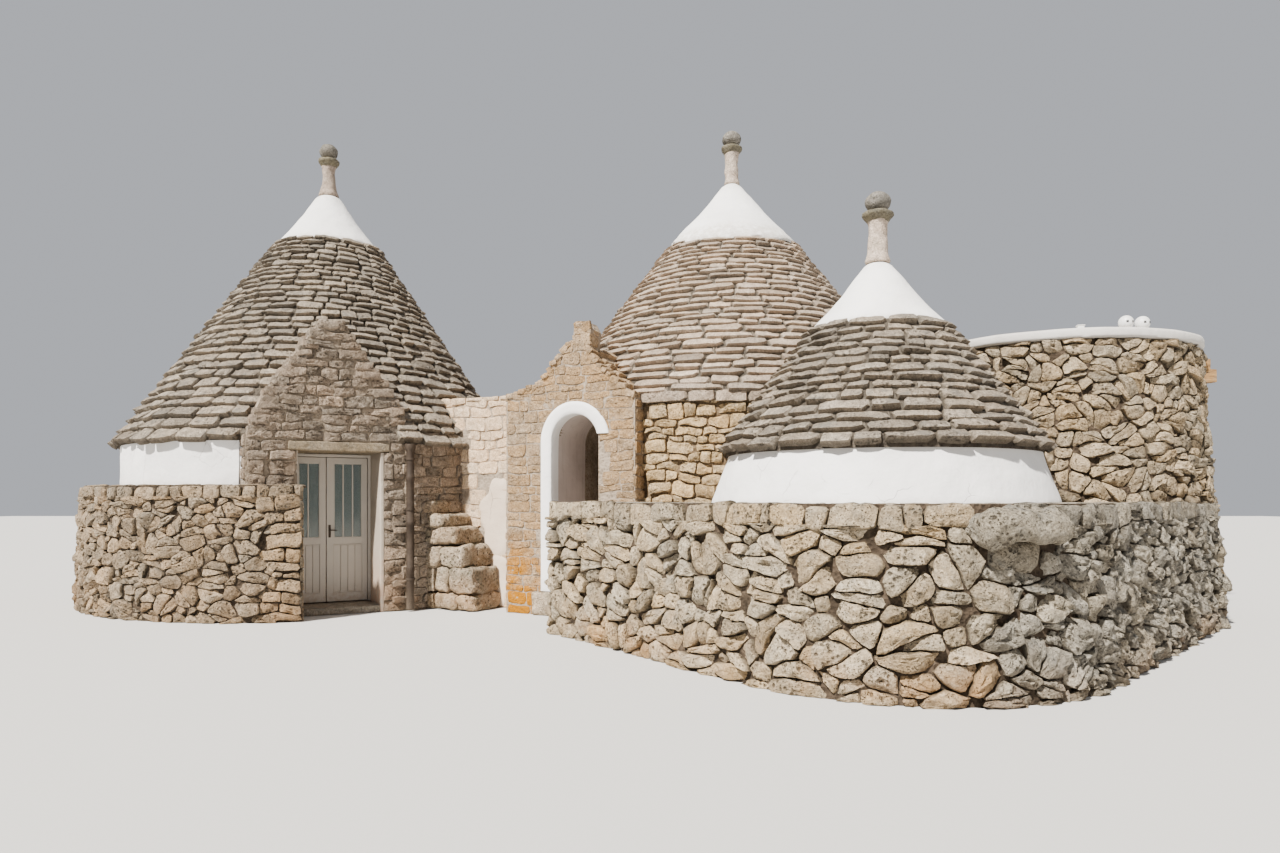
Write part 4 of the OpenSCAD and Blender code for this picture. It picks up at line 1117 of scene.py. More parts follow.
# the jutting boulder
bp = Piece("terrace_boulder", M["karst"], "rubble", sharp=50)
X0, Y0, Z0 = (float(v) for v in terrace_at(np.array(bs), np.array(1.30), np.array(0.06)))
an = -math.pi / 2 + TLT + (bs - LL) / NR
ax = np.array([[-math.sin(an), math.cos(an), 0], [math.cos(an), math.sin(an), 0], [0, 0, 1.0]])
rbox(bp, (X0, Y0, 1.345), (0.70, 0.42, 0.25), ax, r=0.11, m=14, amp=0.050, freq=4.5, seed=77, tint=(0.50, 0.35, 0.95, 1))
X1, Y1, Z1 = (float(v) for v in terrace_at(np.array(bs - 0.02), np.array(1.12), np.array(-0.03)))
rbox(bp, (X1, Y1, 1.13), (0.40, 0.30, 0.24), ax, r=0.08, m=10, amp=0.035, freq=6, seed=78, tint=(0.45, 0.6, 0.7, 1))
bp.build()


# ------------------------------------------------------------------ left ring wall
def ring_r(z):
    return 3.48 - 0.06 * np.clip(z, 0, 1.74) / 1.74


RING0, RING1 = math.radians(25), math.radians(285.2)
ring_at = round_wall(A, ring_r, 3.48, RING0)
W_R = (RING1 - RING0) * 3.48


def ring_fix(o):
    """Keeps the stones on the wall's own side of the doorway's left jamb."""
    o = o.copy(); o[:, 1] = np.clip(o[:, 1], 0.0, 1.74)
    for _ in range(3):
        a = RING0 + o[:, 0] / 3.48
        X = A[0] + 3.48 * np.cos(a); Y = A[1] + 3.48 * np.sin(a)
        x, y = PORCH.local(X, Y)
        over = (x > -0.497) & (y < 1.0)
        o[:, 0] = np.where(over, o[:, 0] - (x + 0.497) * 1.02, o[:, 0])
    return o


def ring_keep(X, Y, Z):
    x, y = PORCH.local(X, Y)
    return ~((x > -1.116) & (y > 0.02)) & (x < -0.45) | (y > 1.5) & (x > 0) | (y > 3.0)


S_JAMB = (math.radians(284.9) - RING0) * 3.48
r_cells = split_cells(power_cells(W_R, 1.80, 0.066, 0.200, 1.34, 0.010, 21, 6.0, 0), 0.009, 24, 0.052, 0.22, 0.80)
r_caps = coping_row(0, W_R, 1.580, 1.745, 0.18, 0.42, 0.010, 22, 0.035, 0.12)
r_outs = stone_set(r_cells, 17, 0.019, 7.5, 33, 1, 0.13, lambda o: ring_fix(clamp_top(1.60, 0.12)(o)))
r_outs = [q for q in r_outs if q[:, 0].mean() < S_JAMB - 0.40 - 0.06 * math.sin(q[:, 1].mean() * 9)]
r_quoins = stone_set(courses(S_JAMB - 0.50, S_JAMB, 0.0, 1.62, 0.12, 0.23, 0.20, 0.46, 0.010, 25, 0.034,
                             ends=lambda z: (S_JAMB - 0.44 - 0.07 * math.sin(z * 9) - 0.03, S_JAMB)), 16, 0.022, 6.5, 37, 1, 0.15, ring_fix)
r_co = stone_set(r_caps, 16, 0.010, 6.0, 34, 1, 0.14, ring_fix)
FRONT_S = (math.radians(170) - RING0) * 3.48
for nm, lo, hi, sd in (("ring_stones_front", FRONT_S, 1e9, 51), ("ring_stones_back", -1e9, FRONT_S, 52)):
    p = Piece(nm, M["ring"], "rubble")
    o = [q for q in r_outs if lo <= q[:, 0].mean() < hi]
    if lo < 0:
        o = [q[np.arange(len(q)) % 3 != 2] for q in o]
    rocks(p, o, ring_at, heights_for(o, 0.27, 0.038, 0.068), seed=sd, depth=0.04, amp=0.018, facet=0.85, nf=6, tilt=0.55,
          keep=ring_keep, bright=(0.52, 0.18), warm=(0.45, 0.26))
    if lo > 0:
        rocks(p, r_quoins, ring_at, 0.046, seed=sd + 3, depth=0.04, amp=0.013, facet=0.75, nf=5, tilt=0.45, keep=ring_keep,
              prof=RUBBLE, bright=(0.54, 0.16), warm=(0.85, 0.2))
    o = [q for q in r_co if lo <= q[:, 0].mean() < hi]
    rocks(p, o, ring_at, 0.050, seed=sd + 5, depth=0.04, prof=RUBBLE, amp=0.011, facet=0.6, nf=4, tilt=0.4, keep=ring_keep, bright=(0.45, 0.14), warm=(0.3, 0.2))
    # jamb of the wall at the doorway
    if lo > 0:
        jm = plane(PORCH.pt(-0.491, -0.482, 0), PORCH.d3(0, 1), (0, 0, 1), PORCH.d3(1, 0))
        jc = stone_set(courses(0.0, 0.48, 0.0, 1.74, 0.13, 0.21, 0.16, 0.30, 0.012, 23, 0.01), 14, 0.008, 6, 35, 1, 0.14)
        rocks(p, jc, jm, 0.014, seed=58, depth=0.03, prof=BLOCK, amp=0.005, facet=0.4, nf=2, flip=jm.flip, bright=(0.6, 0.12), warm=(0.5, 0.2))
    p.build()


def ring_top(s, t, h, aux=None):
    a = RING0 + s / 3.2
    r = 2.955 + t
    return A[0] - OX + r * np.cos(a), A[1] - OY + r * np.sin(a), 1.735 + h + 0 * a


tp = Piece("ring_top_stones", M["ring"], "rubble")
o = stone_set(power_cells((RING1 - RING0) * 3.2, 0.46, 0.09, 0.20, 1.2, 0.014, 24, 5.0, 1), 12, 0.014, 6, 36, 1, 0.2)


def top_keep(X, Y, Z):
    x, y = PORCH.local(X, Y)
    return ~((x > -1.20) & (y > -0.02)) & (x < -0.58) | (y > 1.5) & (x > 0) | (y > 3.0)


rocks(tp, o, ring_top, 0.016, seed=59, depth=0.03, prof=SLAB, amp=0.006, facet=0.4, nf=2, tilt=0.2, flip=True, keep=top_keep,
      bright=(0.42, 0.14), warm=(0.3, 0.2))
tp.build()


# ------------------------------------------------------------------ round annex wall
D0, D1 = math.radians(12.6), math.radians(336.4)
annex_at = round_wall(D, d_r, 2.01, D0, 0.26 / 3.5)
W_D = (D1 - D0) * 2.01


def annex_fix(o):
    o = o.copy(); o[:, 1] = np.clip(o[:, 1], 0.0, 3.49)
    r = d_r(o[:, 1])
    smax = (TAU - np.arcsin(0.805 / r) - D0) * 2.01
    o[:, 0] = np.minimum(o[:, 0], smax)
    return o


def annex_keep(X, Y, Z):
    return ~in_b(X, Y, Z, -0.05) & ~in_c(X, Y, Z, -0.06)


d_cells = split_cells(power_cells(W_D, 3.66, 0.072, 0.225, 1.30, 0.010, 61, 6.0, 0), 0.009, 64, 0.056, 0.26, 0.78)
d_outs = stone_set(d_cells, 16, 0.026, 6.5, 62, 1, 0.11, lambda o: annex_fix(clamp_top(3.49, 0.12)(o)))
FR_S = (math.radians(190) - D0) * 2.01
for nm, lo, hi, sd in (("annex_stones_front", FR_S, 1e9, 63), ("annex_stones_back", -1e9, FR_S, 64)):
    p = Piece(nm, M["annex"], "rubble")
    o = [q for q in d_outs if lo <= q[:, 0].mean() < hi]
    if lo < 0:
        o = [q[np.arange(len(q)) % 3 != 2] for q in o]
    rocks(p, o, annex_at, heights_for(o, 0.25, 0.038, 0.072), seed=sd, depth=0.04, amp=0.017, facet=0.85, nf=6, tilt=0.55,
          keep=annex_keep, bright=(0.56, 0.17), warm=(0.45, 0.26))
    p.build()

# stones over and beside the annex doorway, its pier and its jambs
p = Piece("annex_door_stones", M["annex"], "rubble")
hd = round_wall(D, d_r, 2.01, math.radians(-27.3), 0.26 / 3.5)
o = stone_set(courses(0.0, math.radians(27.0) * 2.01 + 0.4, 3.395, 3.49, 0.09, 0.10, 0.16, 0.30, 0.012, 65, 0.008), 14, 0.008, 6, 66, 1, 0.16)
rocks(p, o, hd, 0.030, seed=67, prof=BLOCK, amp=0.006, facet=0.5, nf=2, bright=(0.5, 0.15))
for (o0, e1, nn, w, z1, sd) in (
        ((7.25, 12.43, 0), (1, 0, 0), (0, 1, 0), 0.80, 3.19, 68), ((8.09, 12.0, 0), (0, 1, 0), (1, 0, -0.05), 0.43, 3.19, 69),
        ((7.62, 12.0, 0), (1, 0, 0), (0, -1, 0), 0.43, 3.19, 70), ((7.04, 11.2, 0), (1, 0, 0), (0, 1, 0), 0.70, 3.19, 71)):
    mp = plane(o0, e1, (0, 0, 1), nn)
    x0 = 0.14 if sd == 68 else 0.0
    lim = {71: lambda z: (0.0, 5.75 + math.sqrt(float(d_r(z)) ** 2 - 0.64) - 7.04 - 0.03),
           70: lambda z: (0.0, 0.47 - 0.16 * z / 3.2), 68: lambda z: (0.14, 0.84 - 0.16 * z / 3.2)}.get(sd)
    cc = courses(x0, w, 0.0, z1, 0.12, 0.22, 0.18, 0.38, 0.014, sd, 0.014, ends=lim)
    oo = stone_set(cc, 14, 0.012, 6, sd, 1, 0.16)
    if sd == 69:               # the outer face leans in like the wall
        mp = plane((8.09, 12.0, 0), (0, 1, 0), (-0.05, 0, 1), (1, 0, 0.05))
    rocks(p, oo, mp, 0.024 if sd != 71 else 0.008, seed=sd + 100, prof=BLOCK, amp=0.007, facet=0.5, nf=3, flip=mp.flip, depth=0.04,
          bright=(0.52, 0.16), warm=(0.45, 0.25))
mp = plane((7.25, 12.0, 3.20), (1, 0, 0), (0, 1, 0), (0, 0, 1))
rocks(p, stone_set(courses(0.22, 0.68, 0.16, 0.42, 0.13, 0.14, 0.2, 0.34, 0.012, 72, 0.006), 12, 0.008, 6, 72, 1, 0.16), mp, 0.012, seed=73,
      prof=SLAB, amp=0.004, facet=0.3, nf=1, flip=mp.flip, depth=0.03)
p.build()


# ------------------------------------------------------------------ middle drum wall
B0 = math.radians(-135.2)
drum_b_at = round_wall(B, lambda z: 2.87 + 0 * z, 2.87, B0)
W_B = TAU * 2.87


def b_keep(X, Y, Z):
    return ~in_portal(X, Y, Z, 0.03) & ~in_c(X, Y, Z, -0.05) & ~in_d(X, Y, Z, -0.05)


def b_size_ok(o):
    return True


S_B = math.radians(100) * 2.87
# what stands behind the made-up ground isn't laid
b_front = stone_set(courses(0, S_B, 1.36, 2.93, 0.085, 0.19, 0.14, 0.44, 0.005, 81, 0.034), 16, 0.020, 6.5, 82, 1, 0.11, clamp_top(2.94))
b_back = stone_set(courses(S_B + 0.01, W_B, 0.0, 2.93, 0.17, 0.27, 0.26, 0.56, 0.012, 85, 0.024), 10, 0.018, 6.5, 86, 1, 0.15, clamp_top(2.94))
for nm, o, sd in (("middle_drum_stones_front", b_front, 83), ("middle_drum_stones_back", b_back, 84)):
    p = Piece(nm, M["middle"], "coursed_stone")
    rocks(p, o, drum_b_at, 0.050, seed=sd, prof=BLOCK, amp=0.013, facet=0.7, nf=4, tilt=0.4, depth=0.04, keep=b_keep, bright=(0.54, 0.15), warm=(0.55, 0.24))
    p.build()


eave_b = round_wall(B, lambda z: 2.925 + 0 * z, 2.925, B0)
p = Piece("middle_eave_slabs", M["slab_b"], "roof_slab")
o = stone_set(courses(0, TAU * 2.925, 2.800, 2.945, 0.14, 0.15, 0.42, 0.86, 0.006, 88, 0.008), 16, 0.010, 7, 89, 1, 0.10)
rocks(p, o, eave_b, 0.034, seed=90, prof=SLAB, amp=0.009, facet=0.3, nf=2, tilt=0.2, depth=0.03, keep=b_keep, bright=(0.52, 0.12), warm=(0.55, 0.2))
p.build()


# ------------------------------------------------------------------ stone roofs
def cap_dip(c, X, Y):
    """The middle cap's plaster hangs lower on its front."""
    a = np.arctan2(Y - c[1], X - c[0]) + math.pi / 2
    return 0.19 * np.clip(np.cos(a), 0, 1) ** 0.8


def roof(name, slotname, c, r0, z0, r1, z1, dt0, dt1, w0, w1, seed, keep, lip, mat="slab", H=0.044, gap=0.010, amp=0.0065, warm=(0.42, 0.24)):
    f = cone_surface(c, r0, z0, r1, z1)
    rs = np.random.default_rng(seed)
    t = -lip; ts = [t]
    while t < f.L - 0.02:
        k = max(0.0, t / f.L)
        d = (dt0 + (dt1 - dt0) * k ** 0.8) * rs.uniform(0.86, 1.16)
        t += d; ts.append(t)
    ts = np.array(ts); ts = -lip + (ts + lip) * (f.L + 0.02 + lip) / (ts[-1] + lip)
    outs, aux, sh, hs = [], [], [], []
    for j in range(len(ts) - 1):
        tm = 0.5 * (ts[j] + ts[j + 1]); dt = ts[j + 1] - ts[j]
        rc = r0 + (r1 - r0) * tm / f.L
        k = max(0.0, tm / f.L)
        wa = w0 + (w1 - w0) * k
        circ = TAU * rc
        xs = [rs.uniform(0, 0.3)]; st = xs[0]
        while xs[-1] < st + circ - 0.6 * wa:
            xs.append(xs[-1] + wa * rs.uniform(0.58, 1.5))
        xs = np.array(xs); xs = st + (xs - st) * circ / (xs[-1] - st)
        for i in range(len(xs) - 1):
            a, b = xs[i] + gap * rs.uniform(0.2, 0.9), xs[i + 1] - gap * rs.uniform(0.2, 0.9)
            u = np.linspace(a, b, 5); th = u / rc
            wv = 0.016 * dt / 0.15
            lo = ts[j] + wv * fbm(th * 5.5, 0 * th + j * 3.7, 0, seed, 2)
            hi = ts[j + 1] + wv * fbm(th * 5.5, 0 * th + (j + 1) * 3.7, 0, seed, 2)
            drop = rs.uniform(-0.010, 0.020) if j else rs.uniform(-0.03, 0.035)
            top = rs.uniform(-0.01, 0.006)
            bow = rs.uniform(0, 0.012) * np.array([0.8, 0.15, 0, 0.15, 0.8])
            P = [(x, y + gap * 0.25 - drop + w) for x, y, w in zip(u, lo, bow)] + \
                [(x, y + 0.012 + top) for x, y in zip(u[::-1], hi[::-1])]
            outs.append(outline(P, 12, 0.0075, 9.0, seed + 3, 1, 0.14, 0.04))
            aux.append(rc); sh.append(rs.uniform(0.26, 0.52) * (0.15 / dt) ** 0.5); hs.append(H * min(1.15, dt / 0.15 + 0.15) * rs.uniform(0.8, 1.25))
    p = Piece(name, M[mat], "roof_slab")
    rocks(p, outs, f, np.array(hs), seed=seed + 9, depth=0.035, prof=SLAB, amp=amp, facet=0.35, nf=2, tilt=0.22, shingle=np.array(sh), aux=aux,
          keep=keep, bright=(0.5, 0.17), warm=warm, sunk=-0.004)
    p.build()


roof("left_roof_slabs", "roof_slab", A, 2.99, 2.43, 0.79, 5.70, 0.185, 0.105, 0.36, 0.27, 101,
     lambda X, Y, Z: ~in_porch(X, Y, Z, -0.03), 0.11, amp=0.009)
roof("middle_roof_slabs", "roof_slab", B, 2.925, 2.923, 0.926, 5.64, 0.141, 0.094, 0.50, 0.32, 102,
     lambda X, Y, Z: ~in_portal(X, Y, Z, -0.03) & (Z < 5.63 - cap_dip(B, X, Y)), 0.02, mat="slab_b", H=0.036, gap=0.006, amp=0.008, warm=(0.5, 0.2))
roof("front_roof_slabs", "roof_slab", C, 1.83, 2.20, 0.80, 3.59, 0.150, 0.110, 0.42, 0.30, 103,
     lambda X, Y, Z: ~in_b(X, Y, Z, -0.02) & ~in_d(X, Y, Z, -0.04), 0.09, amp=0.009)


# ------------------------------------------------------------------ plaster caps and bands, pinnacles
def cap_piece(name, mat, c, r, z, tr, tz, node, seed, dip=0.0, flare=0.0):
    p = Piece(name, M[mat], "whitewash", replaces=(node,), sharp=60)
    pts = [(0.0, z - 0.03), (r * 0.9, z - 0.03), (r + 0.012, z - 0.028), (r + 0.018, z + 0.006), (r * 0.985, z + 0.045),
           (r * 0.72 + tr * 0.24, z + (tz - z) * 0.27), (r * 0.47 + tr * 0.46, z + (tz - z) * 0.51), (r * 0.22 + tr * 0.75, z + (tz - z) * 0.77),
           (tr, tz - 0.01), (0.0, tz - 0.008)]
    prof = smooth_profile(pts, 54, 1)
    prof[0] = (0.0, prof[0][1]); prof[-1] = (0.0, prof[-1][1])

    def rag(a, zz, rr):
        k = np.clip((z + 0.02 - zz) / 0.04, 0, 1) * (rr > 0.5 * r)
        k2 = np.clip((z + 0.10 - zz) / 0.10, 0, 1) * (rr > 0.5 * r)
        return k * (0.016 * fbm(np.cos(a) * 7, np.sin(a) * 7, 0, seed + 2, 3) - 0.012) - k2 * dip * np.clip(-np.sin(a), 0, 1) ** 0.8
    lathe(p, c, prof, 112, wob=0.011, freq=2.6, seed=seed, rag=rag, flare=flare)
    p.build()


cap_piece("left_cap", "cap_a", A, 0.79, 5.70, 0.160, 6.60, "a_roof_cap", 111)
cap_piece("middle_cap", "cap_b", B, 0.926, 5.64, 0.118, 6.591, "b_roof_cap", 112, 0.19, 0.96)
cap_piece("front_cap", "cap_c", C, 0.80, 3.59, 0.130, 4.43, "c_roof_cap", 113)


def pinnacle_piece(name, c, z, h, fr, nr, cr, br, node, seed, tone):
    p = Piece(name, M["carved_pale"], "carved_stone", replaces=(node,), sharp=55)
    pts = [(0.0, z - 0.02), (fr * 0.98, z - 0.018), (fr, z + 0.012), (fr * 0.92, z + 0.05 * h), (fr * 0.80, z + 0.12 * h), (nr * 1.10, z + 0.24 * h),
           (nr, z + 0.34 * h), (nr * 0.98, z + 0.44 * h), (nr * 1.08, z + 0.52 * h), (cr * 0.70, z + 0.58 * h), (cr * 0.60, z + 0.62 * h), (0.0, z + 0.625 * h)]
    prof = smooth_profile(pts, 48, 1)
    prof[0] = (0.0, prof[0][1]); prof[-1] = (0.0, prof[-1][1])
    lathe(p, c, prof, 48, wob=0.0065, freq=9, seed=seed, tint=(tone, 0.45, 0.4, 1))
    p.build()
    q = Piece(name + "_head", M["carved"], "carved_stone", sharp=55)
    pts = [(0.0, z + 0.54 * h), (cr * 0.58, z + 0.545 * h), (cr * 0.74, z + 0.585 * h), (cr * 0.90, z + 0.625 * h), (cr * 1.0, z + 0.650 * h),
           (cr * 1.0, z + 0.690 * h), (cr * 0.93, z + 0.702 * h), (br * 0.5, z + 0.706 * h), (0.0, z + 0.707 * h)]
    prof = smooth_profile(pts, 34, 1)
    prof[0] = (0.0, prof[0][1]); prof[-1] = (0.0, prof[-1][1])
    lathe(q, c, prof, 56, wob=0.010, freq=10, seed=seed + 7, tint=(0.42, 0.85, 0.3, 1))
    bv = 0.150 * h
    ball = [(br * math.sin(a), z + h - bv - bv * math.cos(a)) for a in np.linspace(0, math.pi, 26)]
    ball[0] = (0.0, ball[0][1]); ball[-1] = (0.0, ball[-1][1])
    lathe(q, c, ball, 48, wob=0.008, freq=8, seed=seed + 3, tint=(0.50, 0.15, 0.75, 1))
    q.build()


pinnacle_piece("left_pinnacle", A, 6.60, 0.86, .160, .098, .170, .149, "a_pinnacle", 121, 0.20)
pinnacle_piece("middle_pinnacle", B, 6.591, 0.847, .123, .098, .168, .151, "b_pinnacle", 122, 0.55)
pinnacle_piece("front_pinnacle", C, 4.43, 0.85, .150, .106, .184, .152, "c_pinnacle", 123, 0.66)

# plaster on the left drum above the ring wall, and on the front drum
p = Piece("left_band_plaster", M["band"], "whitewash", sharp=60)
band = [(2.93, 1.70), (2.972, 1.705), (2.976, 1.76), (2.970, 1.95), (2.968, 2.12), (2.972, 2.26), (2.968, 2.36), (2.93, 2.365)]
lathe(p, A, [(2.93, 2.03)] + [(2.93, 1.70)] + smooth_profile(band[1:-1], 12, 1) + [(2.93, 2.365), (2.93, 2.03)], 220, math.radians(5), math.radians(268), wob=0.010, freq=1.9, seed=131)
p.build()
p = Piece("front_drum_plaster", M["drum"], "whitewash", sharp=60)
dp = [(1.97, 1.46), (2.008, 1.465), (2.006, 1.52), (1.955, 1.66), (1.895, 1.82), (1.835, 1.98), (1.806, 2.07), (1.802, 2.11), (1.76, 2.115)]
lathe(p, C, [(1.80, 1.80), (1.97, 1.46)] + smooth_profile(dp[1:-1], 16, 1) + [(1.76, 2.115), (1.80, 1.80)], 200, math.radians(126), math.radians(374), wob=0.011, freq=1.8, seed=132)
p.build()


# bare stones on the left drum between the porch and the linking wall
p = Piece("left_drum_stones", M["porch"], "coursed_stone")
da0 = math.radians(-54)
ldr = round_wall(A, lambda z: 2.95 + 0 * z, 2.95, da0)
o = stone_set(courses(0, math.radians(27) * 2.95, 0.0, 2.36, 0.10, 0.20, 0.20, 0.56, 0.005, 136, 0.022), 14, 0.014, 6, 137, 1, 0.09)
rocks(p, o, ldr, 0.032, seed=138, prof=BLOCK, amp=0.009, facet=0.6, nf=4, tilt=0.4, depth=0.03, keep=lambda X, Y, Z: ~in_porch(X, Y, Z, -0.03),
      bright=(0.5, 0.16), warm=(0.5, 0.2))
p.build()


# ------------------------------------------------------------------ porch
def stepped(P, x0, x1):
    """Row limits inside the outline P at height z."""
    def f(z):
        lo, hi = 1e9, -1e9
        for i in range(len(P)):
            a, b = P[i], P[(i + 1) % len(P)]
            if (a[1] - z) * (b[1] - z) <= 0 and a[1] != b[1]:
                x = a[0] + (b[0] - a[0]) * (z - a[1]) / (b[1] - a[1])
                lo, hi = min(lo, x), max(hi, x)
        return max(lo, x0), min(hi, x1)
    return f


face = plane(PORCH.pt(0, 0, 0), PORCH.d3(1, 0), (0, 0, 1), PORCH.d3(0, -1))
p = Piece("porch_front_stones", M["porch"], "coursed_stone")
sets = [courses(-1.116, -0.50, 1.70, 2.20, 0.14, 0.19, 0.24, 0.60, 0.005, 141, 0.016),
        courses(-1.116, -0.61, 2.20, 2.345, 0.14, 0.15, 0.20, 0.36, 0.005, 142, 0.006),
        courses(0.636, 0.928, 0.0, 2.20, 0.12, 0.22, 0.16, 0.32, 0.005, 143, 0.018),
        courses(0.715, 0.928, 2.20, 2.345, 0.14, 0.15, 0.20, 0.36, 0.013, 144, 0.004),
        courses(-1.116, 0.928, 2.345, 3.90, 0.080, 0.165, 0.16, 0.56, 0.004, 145, 0.026, ends=stepped(PORCH_OUT, -1.2, 1.0))]
for i, sset in enumerate(sets):
    o = stone_set(sset, 16, 0.014, 7, 146 + i, 1, 0.09)
    rocks(p, o, face, 0.032, seed=151 + i, prof=BLOCK, amp=0.014, facet=0.7, nf=5, tilt=0.45, depth=0.04, flip=face.flip, bright=(0.46, 0.17), warm=(0.5, 0.25))
# capping stones on the two slopes and the crown, each a rough block laid across the wall's front
rs = np.random.default_rng(160)
for side in (-1, 1):
    z = 2.40
    while z < 3.86:
        h = min(rs.uniform(0.085, 0.150), 3.93 - z)
        lo, hi = stepped(PORCH_OUT, -1.2, 1.0)(z + h / 2)
        if hi - lo < 0.30:
            break
        y = -0.03
        while y < 1.28:
            dy = rs.uniform(0.24, 0.42)
            w = min(rs.uniform(0.18, 0.30), 0.48 * (hi - lo))
            e = rs.uniform(-0.016, 0.028)
            x0, x1 = (lo - e, lo - e + w) if side < 0 else (hi + e - w, hi + e)
            X, Y, Z = PORCH.pt((x0 + x1) / 2, y + dy / 2, z)
            if not in_a(np.array(X), np.array(Y), np.array(Z), -0.10):
                fbox(p, PORCH, x0, x1, y + (rs.uniform(-0.02, 0.012) if y < 0 else 0.0), y + dy - 0.010, z + 0.004, z + h - 0.006, r=0.022, m=5, amp=0.013, freq=9,
                     seed=int(rs.integers(1e6)), tint=(rs.uniform(0.3, 0.7), rs.uniform(0.2, 0.7), rs.random(), 0.95))
            y += dy
        z += h
# crown stone
rbox(p, PORCH.part(-0.05, 0.12, 3.90), (0.34, 0.36, 0.16), frame_axes(PORCH), r=0.05, m=6, amp=0.02, freq=7, seed=166, tint=(0.6, 0.3, 0.6, 1))
p.build()

# the porch's own sides
p = Piece("porch_side_stones", M["porch"], "coursed_stone")
sl = plane(PORCH.pt(-1.116, 1.6, 0), PORCH.d3(0, -1), (0, 0, 1), PORCH.d3(-1, 0))
sr = plane(PORCH.pt(0.928, 0, 0), PORCH.d3(0, 1), (0, 0, 1), PORCH.d3(1, 0))
o = stone_set(courses(0.0, 1.6, 1.70, 2.40, 0.11, 0.18, 0.16, 0.36, 0.013, 171, 0.014), 14, 0.012, 7, 172, 1, 0.16)
rocks(p, o, sl, 0.024, seed=173, prof=BLOCK, amp=0.007, facet=0.6, nf=3, depth=0.04, flip=sl.flip, keep=lambda X, Y, Z: ~in_a(X, Y, Z, -0.03), bright=(0.46, 0.16))
o = stone_set(courses(0.0, 1.2, 0.0, 2.76, 0.11, 0.18, 0.16, 0.36, 0.013, 174, 0.014), 14, 0.012, 7, 175, 1, 0.16)
rocks(p, o, sr, 0.024, seed=176, prof=BLOCK, amp=0.007, facet=0.6, nf=3, depth=0.04, flip=sr.flip, keep=lambda X, Y, Z: ~in_a(X, Y, Z, -0.03), bright=(0.46, 0.16))
p.build()

# lintel: one long slab with a worn lower edge
p = Piece("porch_lintel_slab", M["lintel"], "coursed_stone", replaces=("porch_lintel",), sharp=50)
fbox(p, PORCH, -0.600, 0.707, -0.028, 0.70, 2.205, 2.338, r=0.018, m=10, amp=0.008, freq=6, seed=181, tint=(0.55, 0.35, 0.3, 1))
fbox(p, PORCH, -0.60, 0.70, 0.69, 1.20, 2.21, 2.335, r=0.012, m=5, amp=0.004, freq=6, seed=182, tint=(0.5, 0.5, 0.3, 1))
p.build()

# plastered reveals beside the door, and the sill
p = Piece("door_reveal_plaster", M["reveal"], "coursed_stone", sharp=55)
fbox(p, PORCH, 0.586, 0.640, -0.014, 0.602, 0.002, 2.205, r=0.016, m=14, amp=0.0028, freq=3.0, seed=183)
fbox(p, PORCH, -0.515, -0.480, 0.0, 0.602, 0.10, 2.205, r=0.006, m=12, amp=0.0025, freq=3.0, seed=184)
p.build()
p = Piece("door_sill_slab", M["paving"], "floor_stone", replaces=("porch_sill",), sharp=50)
fbox(p, PORCH, -0.489, 0.596, 0.012, 0.56, 0.0, 0.098, r=0.018, m=8, amp=0.004, freq=6, seed=185, tint=(0.6, 0.3, 0.2, 1))
fbox(p, PORCH, -0.489, 0.596, 0.57, 0.98, 0.0, 0.096, r=0.012, m=6, amp=0.003, freq=6, seed=186, tint=(0.5, 0.4, 0.2, 1))
p.build()


# ------------------------------------------------------------------ door
p = Piece("door_frame_timber", M["door"], "door_paint", replaces=("door_frame",), sharp=30)
for x0, x1 in ((-0.491, -0.447), (0.554, 0.598)):
    fbox(p, PORCH, x0, x1, 0.602, 0.668, 0.102, 2.198, r=0.004, m=3)
    fbox(p, PORCH, x0 + 0.010, x1 - 0.010, 0.597, 0.607, 0.104, 2.185, r=0.003, m=3)
fbox(p, PORCH, -0.449, 0.556, 0.602, 0.668, 2.156, 2.198, r=0.004, m=3)
fbox(p, PORCH, -0.440, 0.547, 0.597, 0.607, 2.164, 2.188, r=0.003, m=3)
p.build()


